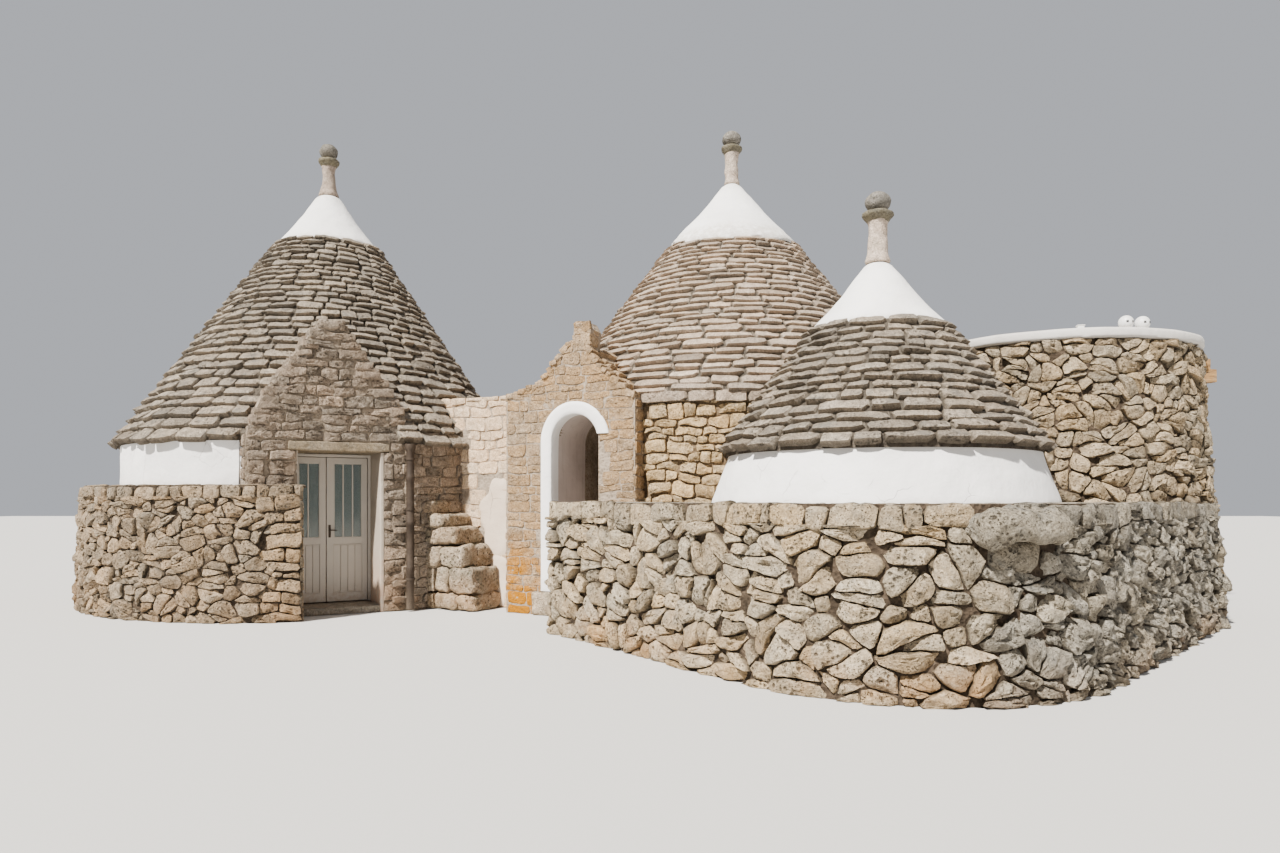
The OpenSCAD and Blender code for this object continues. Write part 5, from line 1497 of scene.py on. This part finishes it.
def leaf(name, gname, node, gnode, body, x0, x1, g0, g1, bars, stile_l, stile_r, meet, handle_x):
    p = Piece(name, M["door"], "door_paint", body=body, replaces=(node,), sharp=30)
    y0, y1, z0, z1 = 0.627, 0.668, 0.113, 2.148
    gz0, gz1 = 1.012, 2.072
    fbox(p, PORCH, x0, g0, y0, y1, z0, z1, r=0.004, m=3)                       # stiles
    fbox(p, PORCH, g1, x1, y0, y1, z0, z1, r=0.004, m=3)
    fbox(p, PORCH, g0 - 0.002, g1 + 0.002, y0, y1, gz1, z1, r=0.004, m=3)      # top rail
    fbox(p, PORCH, g0 - 0.002, g1 + 0.002, y0, y1, 0.925, gz0, r=0.004, m=3)   # lock rail
    fbox(p, PORCH, g0 - 0.002, g1 + 0.002, y0, y1, z0, 0.235, r=0.004, m=3)    # bottom rail
    nb = max(2, round((g1 - g0) / 0.09)); w = (g1 - g0) / nb
    for i in range(nb):                                                        # tongued boards below
        fbox(p, PORCH, g0 + i * w + 0.0015, g0 + (i + 1) * w - 0.0015, y0 + 0.012, y1 - 0.010, 0.225, 0.935, r=0.005, m=3)
    for a, b, c, d in ((g0 - 0.001, g0 + 0.014, gz0, gz1), (g1 - 0.014, g1 + 0.001, gz0, gz1)):   # glazing beads
        fbox(p, PORCH, a, b, y0 + 0.004, y0 + 0.016, c, d, r=0.004, m=3)
    for c, d in ((gz0 - 0.001, gz0 + 0.014), (gz1 - 0.014, gz1 + 0.001)):
        fbox(p, PORCH, g0, g1, y0 + 0.004, y0 + 0.016, c, d, r=0.004, m=3)
    for bx in bars:                                                            # slim glazing bars
        fbox(p, PORCH, bx - 0.010, bx + 0.010, y0 + 0.003, y1 - 0.006, gz0, gz1, r=0.005, m=3)
    for c, d in ((0.935, 0.950), (0.2405, 0.2555)):                            # panel mouldings
        fbox(p, PORCH, g0, g1, y0 - 0.004, y0 + 0.008, c - 0.03 if c > 0.9 else c, d - 0.03 if c > 0.9 else d, r=0.004, m=3)
    if meet:                                                                   # cover strip of the meeting stile
        fbox(p, PORCH, meet[0], meet[1], y0 - 0.010, y0 + 0.004, z0 + 0.004, z1 - 0.004, r=0.005, m=3)
    p.build()
    q = Piece(gname, M["glass"], "door_glass", body=body, replaces=(gnode,), sharp=30)
    fbox(q, PORCH, g0 + 0.001, g1 - 0.001, 0.6445, 0.6505, gz0 + 0.001, gz1 - 0.001, r=0.001, m=3)
    q.build()
    if handle_x is not None:
        k = Piece(name + "_handle", M["pipe"], "door_paint", body=body, sharp=40)
        fbox(k, PORCH, handle_x - 0.017, handle_x + 0.017, y0 - 0.006, y0 + 0.002, 1.02, 1.20, r=0.004, m=4)
        fbox(k, PORCH, handle_x - 0.009, handle_x + 0.009, y0 - 0.040, y0 - 0.002, 1.115, 1.133, r=0.007, m=4)
        fbox(k, PORCH, handle_x - 0.010, handle_x + 0.100, y0 - 0.046, y0 - 0.030, 1.116, 1.132, r=0.007, m=5)
        k.build()


leaf("door_leaf_left_joinery", "door_pane_left", "door_leaf_left", "door_glass_left", "leaf_left", -0.440, -0.020, -0.385, -0.100,
     [-0.255], 0.055, 0.08, None, None)
leaf("door_leaf_right_joinery", "door_pane_right", "door_leaf_right", "door_glass_right", "leaf_right", -0.010, 0.547, 0.085, 0.477,
     [0.215, 0.345], 0.095, 0.07, None, 0.030)


# ------------------------------------------------------------------ downpipe
p = Piece("downpipe_tube", M["pipe"], "pipe", replaces=("downpipe",), sharp=40)
DP = (-3.196, 11.872)
prof = [(0.0, 0.032), (0.050, 0.033), (0.054, 0.05)]
for zj in (0.62, 1.25, 1.88):
    prof += [(0.0535, zj - 0.062), (0.0575, zj - 0.055), (0.0585, zj - 0.01), (0.0575, zj), (0.0535, zj + 0.006)]
prof += [(0.0535, 2.22), (0.060, 2.235), (0.072, 2.275), (0.074, 2.318), (0.070, 2.328), (0.0, 2.328)]
lathe(p, DP, prof, 32, wob=0.0012, freq=3, seed=191)
for zb in (0.45, 1.42, 2.12):
    lathe(p, DP, [(0.052, zb - 0.016), (0.0625, zb - 0.016), (0.064, zb), (0.0625, zb + 0.016), (0.052, zb + 0.016), (0.050, zb), (0.052, zb - 0.016)], 32)
    x, y = PORCH.local(*DP)
    fbox(p, PORCH, x - 0.012, x + 0.012, y - 0.01 + 0.06, y + 0.16, zb - 0.010, zb + 0.010, r=0.004, m=3)
p.build()


# ------------------------------------------------------------------ linking wall and stair
def link_keep(X, Y, Z):
    return ~in_a(X, Y, Z, -0.04) & ~in_portal(X, Y, Z, -0.02)


PATCH = [(-0.60, 0.80), (-0.20, 0.74), (-0.20, 1.86), (-0.50, 1.84), (-0.56, 1.62), (-0.72, 1.58), (-0.70, 1.20), (-0.62, 1.10)]
lf = plane(LINK.pt(0, 0, 0), LINK.d3(1, 0), (0, 0, 1), LINK.d3(0, -1))
lb = plane(LINK.pt(0, 0.6, 0), LINK.d3(-1, 0), (0, 0, 1), LINK.d3(0, 1))
lt = plane(LINK.pt(0, 0, 3.04), LINK.d3(1, 0), LINK.d3(0, 1), (0, 0, 1))
p = Piece("link_wall_stones", M["link"], "coursed_stone")
cc = courses(-1.45, -0.026, 0.0, 3.04, 0.12, 0.24, 0.24, 0.60, 0.004, 201, 0.020)
o = stone_set(cc, 16, 0.012, 6, 202, 1, 0.12)
o = [q for q in o if not (-0.70 < q[:, 0].mean() < -0.18 and 0.76 < q[:, 1].mean() < 1.84)]
rocks(p, o, lf, 0.013, seed=203, prof=BLOCK, amp=0.010, facet=0.55, nf=4, tilt=0.4, depth=0.03, flip=lf.flip, keep=link_keep, bright=(0.58, 0.09), warm=(0.5, 0.16))
o = stone_set(courses(-0.4, 1.6, 0.0, 3.04, 0.13, 0.22, 0.2, 0.45, 0.012, 204, 0.014), 12, 0.012, 6, 205, 1, 0.14)
rocks(p, o, lb, 0.020, seed=206, prof=BLOCK, amp=0.006, facet=0.5, nf=2, depth=0.03, flip=lb.flip, keep=link_keep, bright=(0.5, 0.14), warm=(0.5, 0.2))
rs = np.random.default_rng(207)
for y0, y1 in ((-0.03, 0.30), (0.315, 0.625)):
    x = -1.5
    while x < 0.42:
        w = rs.uniform(0.22, 0.42)
        X, Y, Z = LINK.pt(x + w / 2, (y0 + y1) / 2, 3.04)
        if bool(link_keep(np.array(X), np.array(Y), np.array(Z))):
            th = rs.uniform(0.06, 0.10)
            fbox(p, LINK, x, x + w - 0.012, y0, y1, 3.055 - th, 3.055 + rs.uniform(-0.012, 0.012), r=0.02, m=4, amp=0.010, freq=8, seed=int(rs.integers(1e6)),
                 tint=(rs.uniform(0.35, 0.7), rs.uniform(0.2, 0.6), rs.random(), 0.95))
        x += w
p.build()


def ragged_sheet(piece, mp, P, h, n=56, rings=9, seed=0, amp=0.004, rag=0.02):
    """A thin skin of plaster with a ragged, feathered edge on a plane."""
    O = outline(P, n, rag, 9.0, seed, 1, 0.10, 0.03)
    c = O.mean(0)
    V, F = [], []
    fs = [1.0] + list(np.linspace(1.0, 0.0, rings + 1)[:-1])
    for k, f in enumerate(fs):
        q = c + f * (O - c)
        hh = np.full(n, -0.01) if k == 0 else h * min(1.0, (1 - f) * 7 + 0.25) + amp * fbm(q[:, 0] * 6, q[:, 1] * 6, 0, seed + 2, 3)
        V.append(np.stack(mp(q[:, 0], q[:, 1], hh), 1))
    V.append(np.array([mp(c[0], c[1], h)]))
    m = len(fs)
    i = np.arange(n); j = (i + 1) % n
    for k in range(m - 1):
        F += [np.stack([k * n + i, k * n + j, (k + 1) * n + j], 1), np.stack([k * n + i, (k + 1) * n + j, (k + 1) * n + i], 1)]
    F.append(np.stack([(m - 1) * n + i, (m - 1) * n + j, np.full(n, m * n)], 1))
    t = np.arange(1, n - 1)
    F.append(np.stack([np.zeros(n - 2, int), t + 1, t], 1))
    F = np.concatenate(F)
    if area(O) < 0:
        F = F[:, ::-1]
    if mp.flip:
        F = F[:, ::-1]
    piece.add(np.concatenate(V), F)


# painted shadow: a dark block in the open joint beside the portal stands in for the shadow in the gap
q = Piece("link_joint_painted_shadow", M["joint"], "coursed_stone", sharp=50)
fbox(q, LINK, -0.030, 0.004, -0.012, 0.03, 1.72, 2.74, r=0.004, m=8, amp=0.010, freq=6, seed=216)
q.build()
p = Piece("link_plaster_patch", M["patch"], "coursed_stone", sharp=60)
ragged_sheet(p, lf, PATCH, 0.020, seed=211)
ragged_sheet(p, lf, [(-0.55, 0.02), (-0.22, 0.02), (-0.20, 0.70), (-0.52, 0.74), (-0.58, 0.42)], 0.018, seed=212)
p.build()

STEPS = [(-0.06, 0.245), (-0.04, 0.600), (0.11, 0.915), (0.26, 1.160), (0.48, 1.350), (0.66, 1.550), (0.79, 1.780)]
p = Piece("stair_blocks", M["stair"], "coursed_stone", replaces=("stair",), sharp=48)
rs = np.random.default_rng(221)
zb = 0.0
for i, (k, zt) in enumerate(STEPS):
    xr = -0.38 - k
    xl = max(xr - rs.uniform(0.62, 0.80), -1.55)
    cut = rs.uniform(0.34, 0.62)
    parts = [(xr - cut * (xr - xl), xr), (xl, xr - cut * (xr - xl) - 0.008)]
    for a, b in parts:
        tone = rs.uniform(0.35, 0.75)
        fbox(p, LINK, a, b, -0.655, -0.005, zb + 0.002, zt - 0.003, r=0.058, m=10, amp=0.030, freq=6.0, seed=int(rs.integers(1e6)), tint=(tone, rs.uniform(0.2, 0.7), rs.random(), 0.95))
    if xl > -1.30:                 # packing behind the treads
        fbox(p, LINK, -1.50, xl - 0.01, -0.64, -0.01, zb + 0.002, zt - 0.012, r=0.03, m=5, amp=0.01, freq=6, seed=int(rs.integers(1e6)), tint=(0.35, 0.4, 0.4, 0.9))
    zb = zt
p.build()


# ------------------------------------------------------------------ portal
OC, OR0, AC = 0.626, 0.356, 2.3419            # middle and half width of the opening, centre height of the arch
AR = 0.3561


def clear_opening(m):
    """Moves outline points out of the arched opening, with a margin m."""
    def f(o):
        o = o.copy(); x, z = o[:, 0] - OC, o[:, 1]
        hw = OR0 + m
        low = (z < 2.35) & (np.abs(x) < hw)
        side = 1.0 if o[:, 0].mean() > OC else -1.0
        o[:, 0] = np.where(low, OC + side * hw, o[:, 0])
        x = o[:, 0] - OC
        d = np.hypot(x, z - AC); hi = (z >= 2.35) & (d < AR + m)
        k = (AR + m) / np.maximum(d, 1e-6)
        o[:, 0] = np.where(hi, OC + x * k, o[:, 0]); o[:, 1] = np.where(hi, AC + (z - AC) * k, o[:, 1])
        return o
    return f


def opening_ok(o, m):
    c = o.mean(0)
    if c[1] < 2.35:
        return abs(c[0] - OC) > OR0 + m
    return math.hypot(c[0] - OC, c[1] - AC) > AR + m


pf = plane(PORTAL.pt(0, 0, 0), PORTAL.d3(1, 0), (0, 0, 1), PORTAL.d3(0, -1))
p = Piece("portal_front_stones", M["portal"], "coursed_stone")
main = courses(-0.45, 1.51, 0.0, 3.66, 0.085, 0.17, 0.18, 0.46, 0.003, 231, 0.022,
               ends=lambda z: (-0.45, 1.51) if z < 2.88 else stepped(PORTAL_OUT, -0.45, 1.51)(z - 0.06))
fin = courses(0.60, 0.86, 3.62, 3.90, 0.13, 0.15, 0.16, 0.24, 0.010, 232, 0.006)
o = [q for q in stone_set(main + fin, 14, 0.012, 6.5, 233, 1, 0.09) if opening_ok(q, 0.04)]
def under_slopes(q):
    q = q.copy()
    lo = np.interp(q[:, 1], [3.0, 3.095, 3.67], [-0.45, 0.04, 0.56]); hi = np.interp(q[:, 1], [2.89, 3.35, 3.59, 3.62], [1.51, 0.95, 0.79, 0.77])
    fin_row = q[:, 1].mean() > 3.64
    if not fin_row:
        q[:, 0] = np.minimum(np.maximum(q[:, 0], lo + 0.01), hi - 0.01)
    return q


o = [under_slopes(clear_opening(0.012)(q)) for q in o]
o = [q for q in o if abs(area(q)) > 0.002]
rocks(p, o, pf, 0.011, seed=234, prof=BLOCK, amp=0.008, facet=0.5, nf=3, tilt=0.3, depth=0.03, flip=pf.flip, bright=(0.56, 0.09), warm=(0.48, 0.16))
# stepped edge stones and the finial block
rs = np.random.default_rng(240)
for a, b in (((-0.45, 3.0), (0.04, 3.095)), ((0.04, 3.095), (0.56, 3.67)), ((0.79, 3.59), (0.95, 3.35)), ((0.95, 3.35), (1.51, 2.89))):
    a, b = np.array(a), np.array(b)
    L = float(np.hypot(*(b - a))); d = (b - a) / L; nn = np.array([-d[1], d[0]]); s = 0.0
    while s < L - 0.04:
        w = min(rs.uniform(0.07, 0.15), L - s)
        m = a + d * (s + w / 2)
        for y0, y1 in ((-0.028, 0.20), (0.21, 0.46), (0.47, 0.80), (0.81, 1.20)):
            X, Y, Z = PORTAL.pt(m[0], (y0 + y1) / 2, m[1])
            if in_b(np.array(X), np.array(Y), np.array(Z), -0.08):
                continue
            q = rs.uniform(-0.012, 0.022)
            axs = np.array([PORTAL.d3(d[0], 0, d[1]), PORTAL.d3(0, 1, 0), PORTAL.d3(nn[0], 0, nn[1])])
            mix = rs.uniform(0.2, 0.9)
            axs = mix * axs + (1 - mix) * frame_axes(PORTAL)
            axs[0] /= np.linalg.norm(axs[0]); axs[2] = np.cross(axs[0], axs[1]); axs[2] /= np.linalg.norm(axs[2])
            rbox(p, PORTAL.part(m[0], (y0 + y1) / 2, m[1] - 0.020 + q), (w * 0.98, y1 - y0 - 0.008, 0.085), axs, r=0.022, m=4, amp=0.014, freq=11,
                 seed=int(rs.integers(1e6)), tint=(rs.uniform(0.45, 0.8), rs.uniform(0.2, 0.5), rs.random(), 0.95))
        s += w
for (x0, x1, z0, z1) in ((0.585, 0.715, 3.60, 3.74), (0.72, 0.865, 3.58, 3.74), (0.62, 0.80, 3.735, 3.83), (0.64, 0.76, 3.825, 3.90), (0.80, 0.87, 3.73, 3.80)):
    fbox(p, PORTAL, x0, x1, -0.015, 0.24, z0, z1, r=0.026, m=6, amp=0.014, freq=9, seed=int(rs.integers(1e6)), tint=(rs.uniform(0.7, 0.95), 0.25, rs.random(), 1))
p.build()

p = Piece("portal_side_stones", M["portal"], "coursed_stone")
sr = plane(PORTAL.pt(1.51, 0, 0), PORTAL.d3(0, 1), (0, 0, 1), PORTAL.d3(1, 0))
sl = plane(PORTAL.pt(-0.45, 1.4, 0), PORTAL.d3(0, -1), (0, 0, 1), PORTAL.d3(-1, 0))
o = stone_set(courses(0.0, 0.6, 1.40, 2.87, 0.12, 0.20, 0.16, 0.34, 0.012, 241, 0.012), 14, 0.012, 6.5, 242, 1, 0.14)
rocks(p, o, sr, 0.020, seed=243, prof=BLOCK, amp=0.006, facet=0.5, nf=3, depth=0.03, flip=sr.flip, keep=lambda X, Y, Z: ~in_b(X, Y, Z, -0.03), bright=(0.52, 0.14), warm=(0.6, 0.2))
o = stone_set(courses(0.0, 1.4, 0.0, 3.02, 0.12, 0.20, 0.16, 0.34, 0.012, 244, 0.012), 12, 0.012, 6.5, 245, 1, 0.14)


def psl_keep(X, Y, Z):
    x, y = LINK.local(X, Y)
    return ~in_b(X, Y, Z, -0.03) & ~((y > 0) & (y < 0.6) & (Z < 3.0))


rocks(p, o, sl, 0.020, seed=246, prof=BLOCK, amp=0.006, facet=0.5, nf=2, depth=0.03, flip=sl.flip, keep=psl_keep, bright=(0.5, 0.14), warm=(0.5, 0.2))
p.build()


def arch_line(m, z_lo_l, z_lo_r, n=28):
    """Left side up, round the arch, right side down, at a distance m outside the opening."""
    pts = [(OC - OR0 - m, z) for z in np.linspace(z_lo_l, AC - 0.015, 10)]
    r = AR + m
    a1 = math.asin(min(0.999, max(0.0, z_lo_r - AC) / r))
    pts += [(OC + r * math.cos(a), AC + r * math.sin(a)) for a in np.linspace(math.pi, a1, n)]
    if z_lo_r < AC - 0.02:
        pts += [(OC + OR0 + m, z) for z in np.linspace(AC - 0.015, z_lo_r, 10)]
    return np.array(pts)


def sweep_rings(piece, rings, closed_path=False, amp=0.0, freq=4.0, seed=0, tint=(0.5, 0.5, 0.5, 1)):
    """Skins a band from rows of 3D points, each row closed round the section."""
    Rr = np.array(rings)                       # section points x path points x 3
    m, n, _ = Rr.shape
    V = Rr.reshape(-1, 3)
    if amp:
        V = V + amp * np.stack([fbm(V[:, 0] * freq, V[:, 1] * freq, V[:, 2] * freq + 9 * k, seed + k, 3) for k in range(3)], 1)
    F = []
    for i in range(m):
        k = (i + 1) % m
        a = i * n + np.arange(n - 1); b = k * n + np.arange(n - 1)
        F += [np.stack([a, a + 1, b + 1], 1), np.stack([a, b + 1, b], 1)]
    for e, rev in ((0, False), (n - 1, True)):
        for i in range(1, m - 1):
            t = [0 * n + e, i * n + e, (i + 1) * n + e]
            F.append(np.array([t[::-1] if rev else t]))
    piece.add(V, np.concatenate(F), tint)


def portal_pts(line, y):
    return np.array([PORTAL.part(x, y, z) for x, z in line])


p = Piece("portal_white_surround", M["surround"], "whitewash", sharp=60)
zl, zr = 0.325, 2.42
inn0 = arch_line(-0.006, zl, zr); inn = arch_line(0.004, zl, zr)
mid1 = arch_line(0.05, zl, zr); mid2 = arch_line(0.105, zl, zr); out1 = arch_line(0.152, zl, zr); out2 = arch_line(0.160, zl, zr)
sec = [portal_pts(inn0, 0.17), portal_pts(inn0, 0.08), portal_pts(inn0, -0.014), portal_pts(inn, -0.026), portal_pts(mid1, -0.029), portal_pts(mid2, -0.029),
       portal_pts(out1, -0.026), portal_pts(out2, -0.014), portal_pts(out2, 0.02), portal_pts(inn, 0.02), portal_pts(inn, 0.17)]
sweep_rings(p, sec[::-1], amp=0.0030, freq=3.5, seed=251)
p.build()

p = Piece("portal_passage_lining", M["passage"], "whitewash", sharp=60)
l0 = arch_line(-0.005, 0.322, 0.322); l1 = arch_line(0.014, 0.322, 0.322)
ys = np.linspace(0.165, 0.93, 6)
sec = [portal_pts(l0, y) for y in ys] + [portal_pts(l1, 0.93), portal_pts(l1, 0.165)]
sweep_rings(p, sec, amp=0.005, freq=2.2, seed=252)
p.build()

# a rough grey block under the left end of the white band
p = Piece("portal_foot_block", M["stair"], "coursed_stone", sharp=50)
fbox(p, PORTAL, -0.01, 0.30, -0.085, 0.02, 0.0, 0.315, r=0.035, m=8, amp=0.012, freq=7, seed=268, tint=(0.75, 0.2, 0.3, 1))
p.build()

# step of the portal and the flags of its passage
p = Piece("portal_step_slabs", M["paving"], "floor_stone", replaces=("portal_step",), sharp=50)
fbox(p, PORTAL, 0.272, 0.980, 0.006, 0.42, 0.0, 0.318, r=0.025, m=9, amp=0.006, freq=6, seed=261, tint=(0.55, 0.35, 0.4, 1))
for i, (y0, y1) in enumerate(((0.428, 0.80), (0.808, 1.18), (1.188, 1.44))):
    fbox(p, PORTAL, 0.272, 0.60 + 0.06 * (i % 2), y0, y1, 0.0, 0.318, r=0.014, m=5, amp=0.004, freq=6, seed=262 + i, tint=(0.5, 0.4, 0.4, 1))
    fbox(p, PORTAL, 0.608 + 0.06 * (i % 2), 0.980, y0, y1, 0.0, 0.316, r=0.014, m=5, amp=0.004, freq=6, seed=272 + i, tint=(0.45, 0.4, 0.4, 1))
p.build()


# ------------------------------------------------------------------ terrace top
p = Piece("terrace_top_flags", M["paving"], "floor_stone")
flat = plane((-1.6, 6.2, 1.478), (1, 0, 0), (0, 1, 0), (0, 0, 1))
fl = power_cells(9.4, 6.2, 0.15, 0.29, 1.0, 0.018, 281, 5.0, 1)
fo = stone_set(fl, 12, 0.03, 4.0, 282, 1, 0.2)


def wall_offset(X, Y):
    """Signed distance inward from the terrace wall's outer foot line."""
    dl = np.array([math.cos(TLT), math.sin(TLT)]); dr = np.array([math.cos(TRT), math.sin(TRT)])
    d1 = -((X - TE[0]) * dl[1] - (Y - TE[1]) * dl[0])
    px, py = NC[0] + NR * math.cos(-math.pi / 2 + TRT), NC[1] + NR * math.sin(-math.pi / 2 + TRT)
    d2 = -((X - px) * dr[1] - (Y - py) * dr[0])
    ang = np.arctan2(Y - NC[1], X - NC[0])
    inn = (ang > -math.pi / 2 + TLT) & (ang < -math.pi / 2 + TRT)
    d3 = NR - np.hypot(X - NC[0], Y - NC[1])
    return np.where(inn, d3, np.minimum(d1, d2))


def flags_keep(X, Y, Z):
    x, y = PORTAL.local(X, Y)
    q = (X - RP[0]) * RD[1] - (Y - RP[1]) * RD[0]
    return ((wall_offset(X, Y) > 0.30) & ~in_c(X, Y, 1.0, 0.10) & ~in_b(X, Y, 1.0, 0.08) & ~in_d(X, Y, 1.48, 0.06)
            & ~((x < 1.59) & (y > -0.10)) & (q < -0.16) & (X + 0.35 * (Y - 10.5) < 6.4))


rocks(p, fo, flat, 0.026, seed=283, prof=SLAB, amp=0.006, facet=0.3, nf=2, tilt=0.15, depth=0.04, flip=flat.flip, keep=flags_keep, bright=(0.5, 0.15), warm=(0.35, 0.2))
p.build()


def wall_top(s, t, h, aux=None):
    X, Y, Z = terrace_at(s, np.full_like(s, 1.52), -t)
    return X, Y, 1.508 + h


p = Piece("terrace_wall_top_stones", M["paving"], "rubble")
wt = shift_s(stone_set(power_cells(W_T, 0.52, 0.10, 0.22, 1.1, 0.015, 284, 5.0, 1), 12, 0.018, 5, 285, 1, 0.2), RET)
wt = [o + np.array([0.0, 0.02]) for o in wt]
rocks(p, wt, wall_top, 0.016, seed=286, prof=SLAB, amp=0.005, facet=0.3, nf=2, tilt=0.15, depth=0.03,
      keep=lambda X, Y, Z: ~in_d(X, Y, Z, 0.0) & ~in_portal(X, Y, Z, -0.02), bright=(0.45, 0.14), warm=(0.3, 0.2))
p.build()


# ------------------------------------------------------------------ annex top, timber, lamps
p = Piece("annex_coping", M["coping"], "whitewash", replaces=("d_coping",), sharp=60)
cpf = [(1.31, 3.50), (1.79, 3.498), (1.826, 3.508), (1.832, 3.53), (1.830, 3.585), (1.818, 3.612), (1.79, 3.622), (1.60, 3.628), (1.42, 3.622), (1.335, 3.612),
       (1.312, 3.59), (1.308, 3.54), (1.31, 3.50)]
lathe(p, D, cpf, 150, wob=0.009, freq=2.2, seed=291)
p.build()
p = Piece("annex_roof_skin", M["white"], "whitewash", replaces=("d_roof_slab",), sharp=60)
lathe(p, D, [(0.0, 3.385), (1.34, 3.385), (1.348, 3.40), (1.345, 3.49), (1.25, 3.494), (1.0, 3.500), (0.7, 3.504), (0.4, 3.506), (0.0, 3.508)], 72, wob=0.006, freq=2.5, seed=292)
p.build()
p = Piece("annex_timber", M["timber"], "old_timber", replaces=("d_timber_lintel",), sharp=35)
rbox(p, (7.295 - OX, 11.60 - OY, 3.295), (0.245, 1.035, 0.185), r=0.010, m=8, amp=0.003, freq=5, seed=293)
rbox(p, (7.70 - OX, 12.045 - OY, 3.295), (0.80, 0.146, 0.186), r=0.012, m=9, amp=0.004, freq=5, seed=294)
p.build()
p = Piece("annex_lamps", M["lamp"], "lamp_white", replaces=("d_roof_fittings",), sharp=40)
q = Piece("annex_lamp_lenses", M["lamp_dark"], "lamp_white", sharp=40)
for a in (-84, -76):
    t = math.radians(a); cx, cy = D[0] + 1.62 * math.cos(t), D[1] + 1.62 * math.sin(t); zb = 3.62
    lathe(p, (cx, cy), [(0.0, zb), (0.058, zb + 0.001), (0.060, zb + 0.008), (0.057, zb + 0.030), (0.040, zb + 0.040), (0.034, zb + 0.050), (0.0, zb + 0.052)], 32)
    ball = [(0.086 * math.sin(u), zb + 0.090 - 0.086 * math.cos(u)) for u in np.linspace(0, math.pi, 22)]
    ball[0] = (0.0, ball[0][1]); ball[-1] = (0.0, ball[-1][1])
    lathe(p, (cx, cy), ball, 40)
    for da in (-24, 24):
        w = t + math.radians(da)
        ex = np.array([-math.sin(w), math.cos(w), 0]); ey = np.array([math.cos(w), math.sin(w), 0])
        c = np.array([cx - OX, cy - OY, zb + 0.092]) + ey * 0.080
        rbox(q, c, (0.032, 0.016, 0.032), np.array([ex, ey, [0, 0, 1]]), r=0.015, m=5)
t = math.radians(-103)
cx, cy = D[0] + 1.60 * math.cos(t), D[1] + 1.60 * math.sin(t)
axv = np.array([[-math.sin(t), math.cos(t), 0], [math.cos(t), math.sin(t), 0], [0, 0, 1.0]])
rbox(p, (cx - OX, cy - OY, 3.652), (0.078, 0.078, 0.064), axv, r=0.010, m=4)
rbox(p, (cx - OX, cy - OY, 3.684), (0.090, 0.090, 0.010), axv, r=0.004, m=4)
p.build(); q.build()


# ------------------------------------------------------------------ studio
me = bpy.data.meshes.new("studio_floor")
me.from_pydata([(-60, -45, 0), (60, -45, 0), (60, 70, 0), (-60, 70, 0)], [], [(0, 1, 2, 3)])
fl = bpy.data.objects.new("studio_floor", me)
bpy.context.scene.collection.objects.link(fl)
t = NT("studio_floor_paint")
t.bump(t.math("MULTIPLY", t.noise(30, 3, 0.5), 0.0006))
me.materials.append(t.done((0.52, 0.51, 0.49), 0.8, 0.2))

w = bpy.data.worlds.new("studio"); bpy.context.scene.world = w; w.use_nodes = True
bg = w.node_tree.nodes["Background"]
bg.inputs[0].default_value = (0.90, 0.93, 1.0, 1); bg.inputs[1].default_value = 0.56
s = bpy.data.lights.new("key", "SUN"); s.energy = 14.0; s.angle = math.radians(3.0); s.color = (1.0, 0.955, 0.89)
so = bpy.data.objects.new("key", s)
so.rotation_euler = (math.radians(40), 0, math.radians(-38))
bpy.context.scene.collection.objects.link(so)

cam = bpy.data.cameras.new("cam"); co = bpy.data.objects.new("cam", cam)
bpy.context.scene.collection.objects.link(co)
co.location = (0 - OX, 0 - OY, 1.55); co.rotation_euler = (math.radians(90), 0, 0)
cam.sensor_width = 36; cam.lens = 853 / 1280 * 36; cam.shift_y = 73.5 / 1280; cam.clip_end = 200
bpy.context.scene.camera = co

bpy.context.view_layer.update()
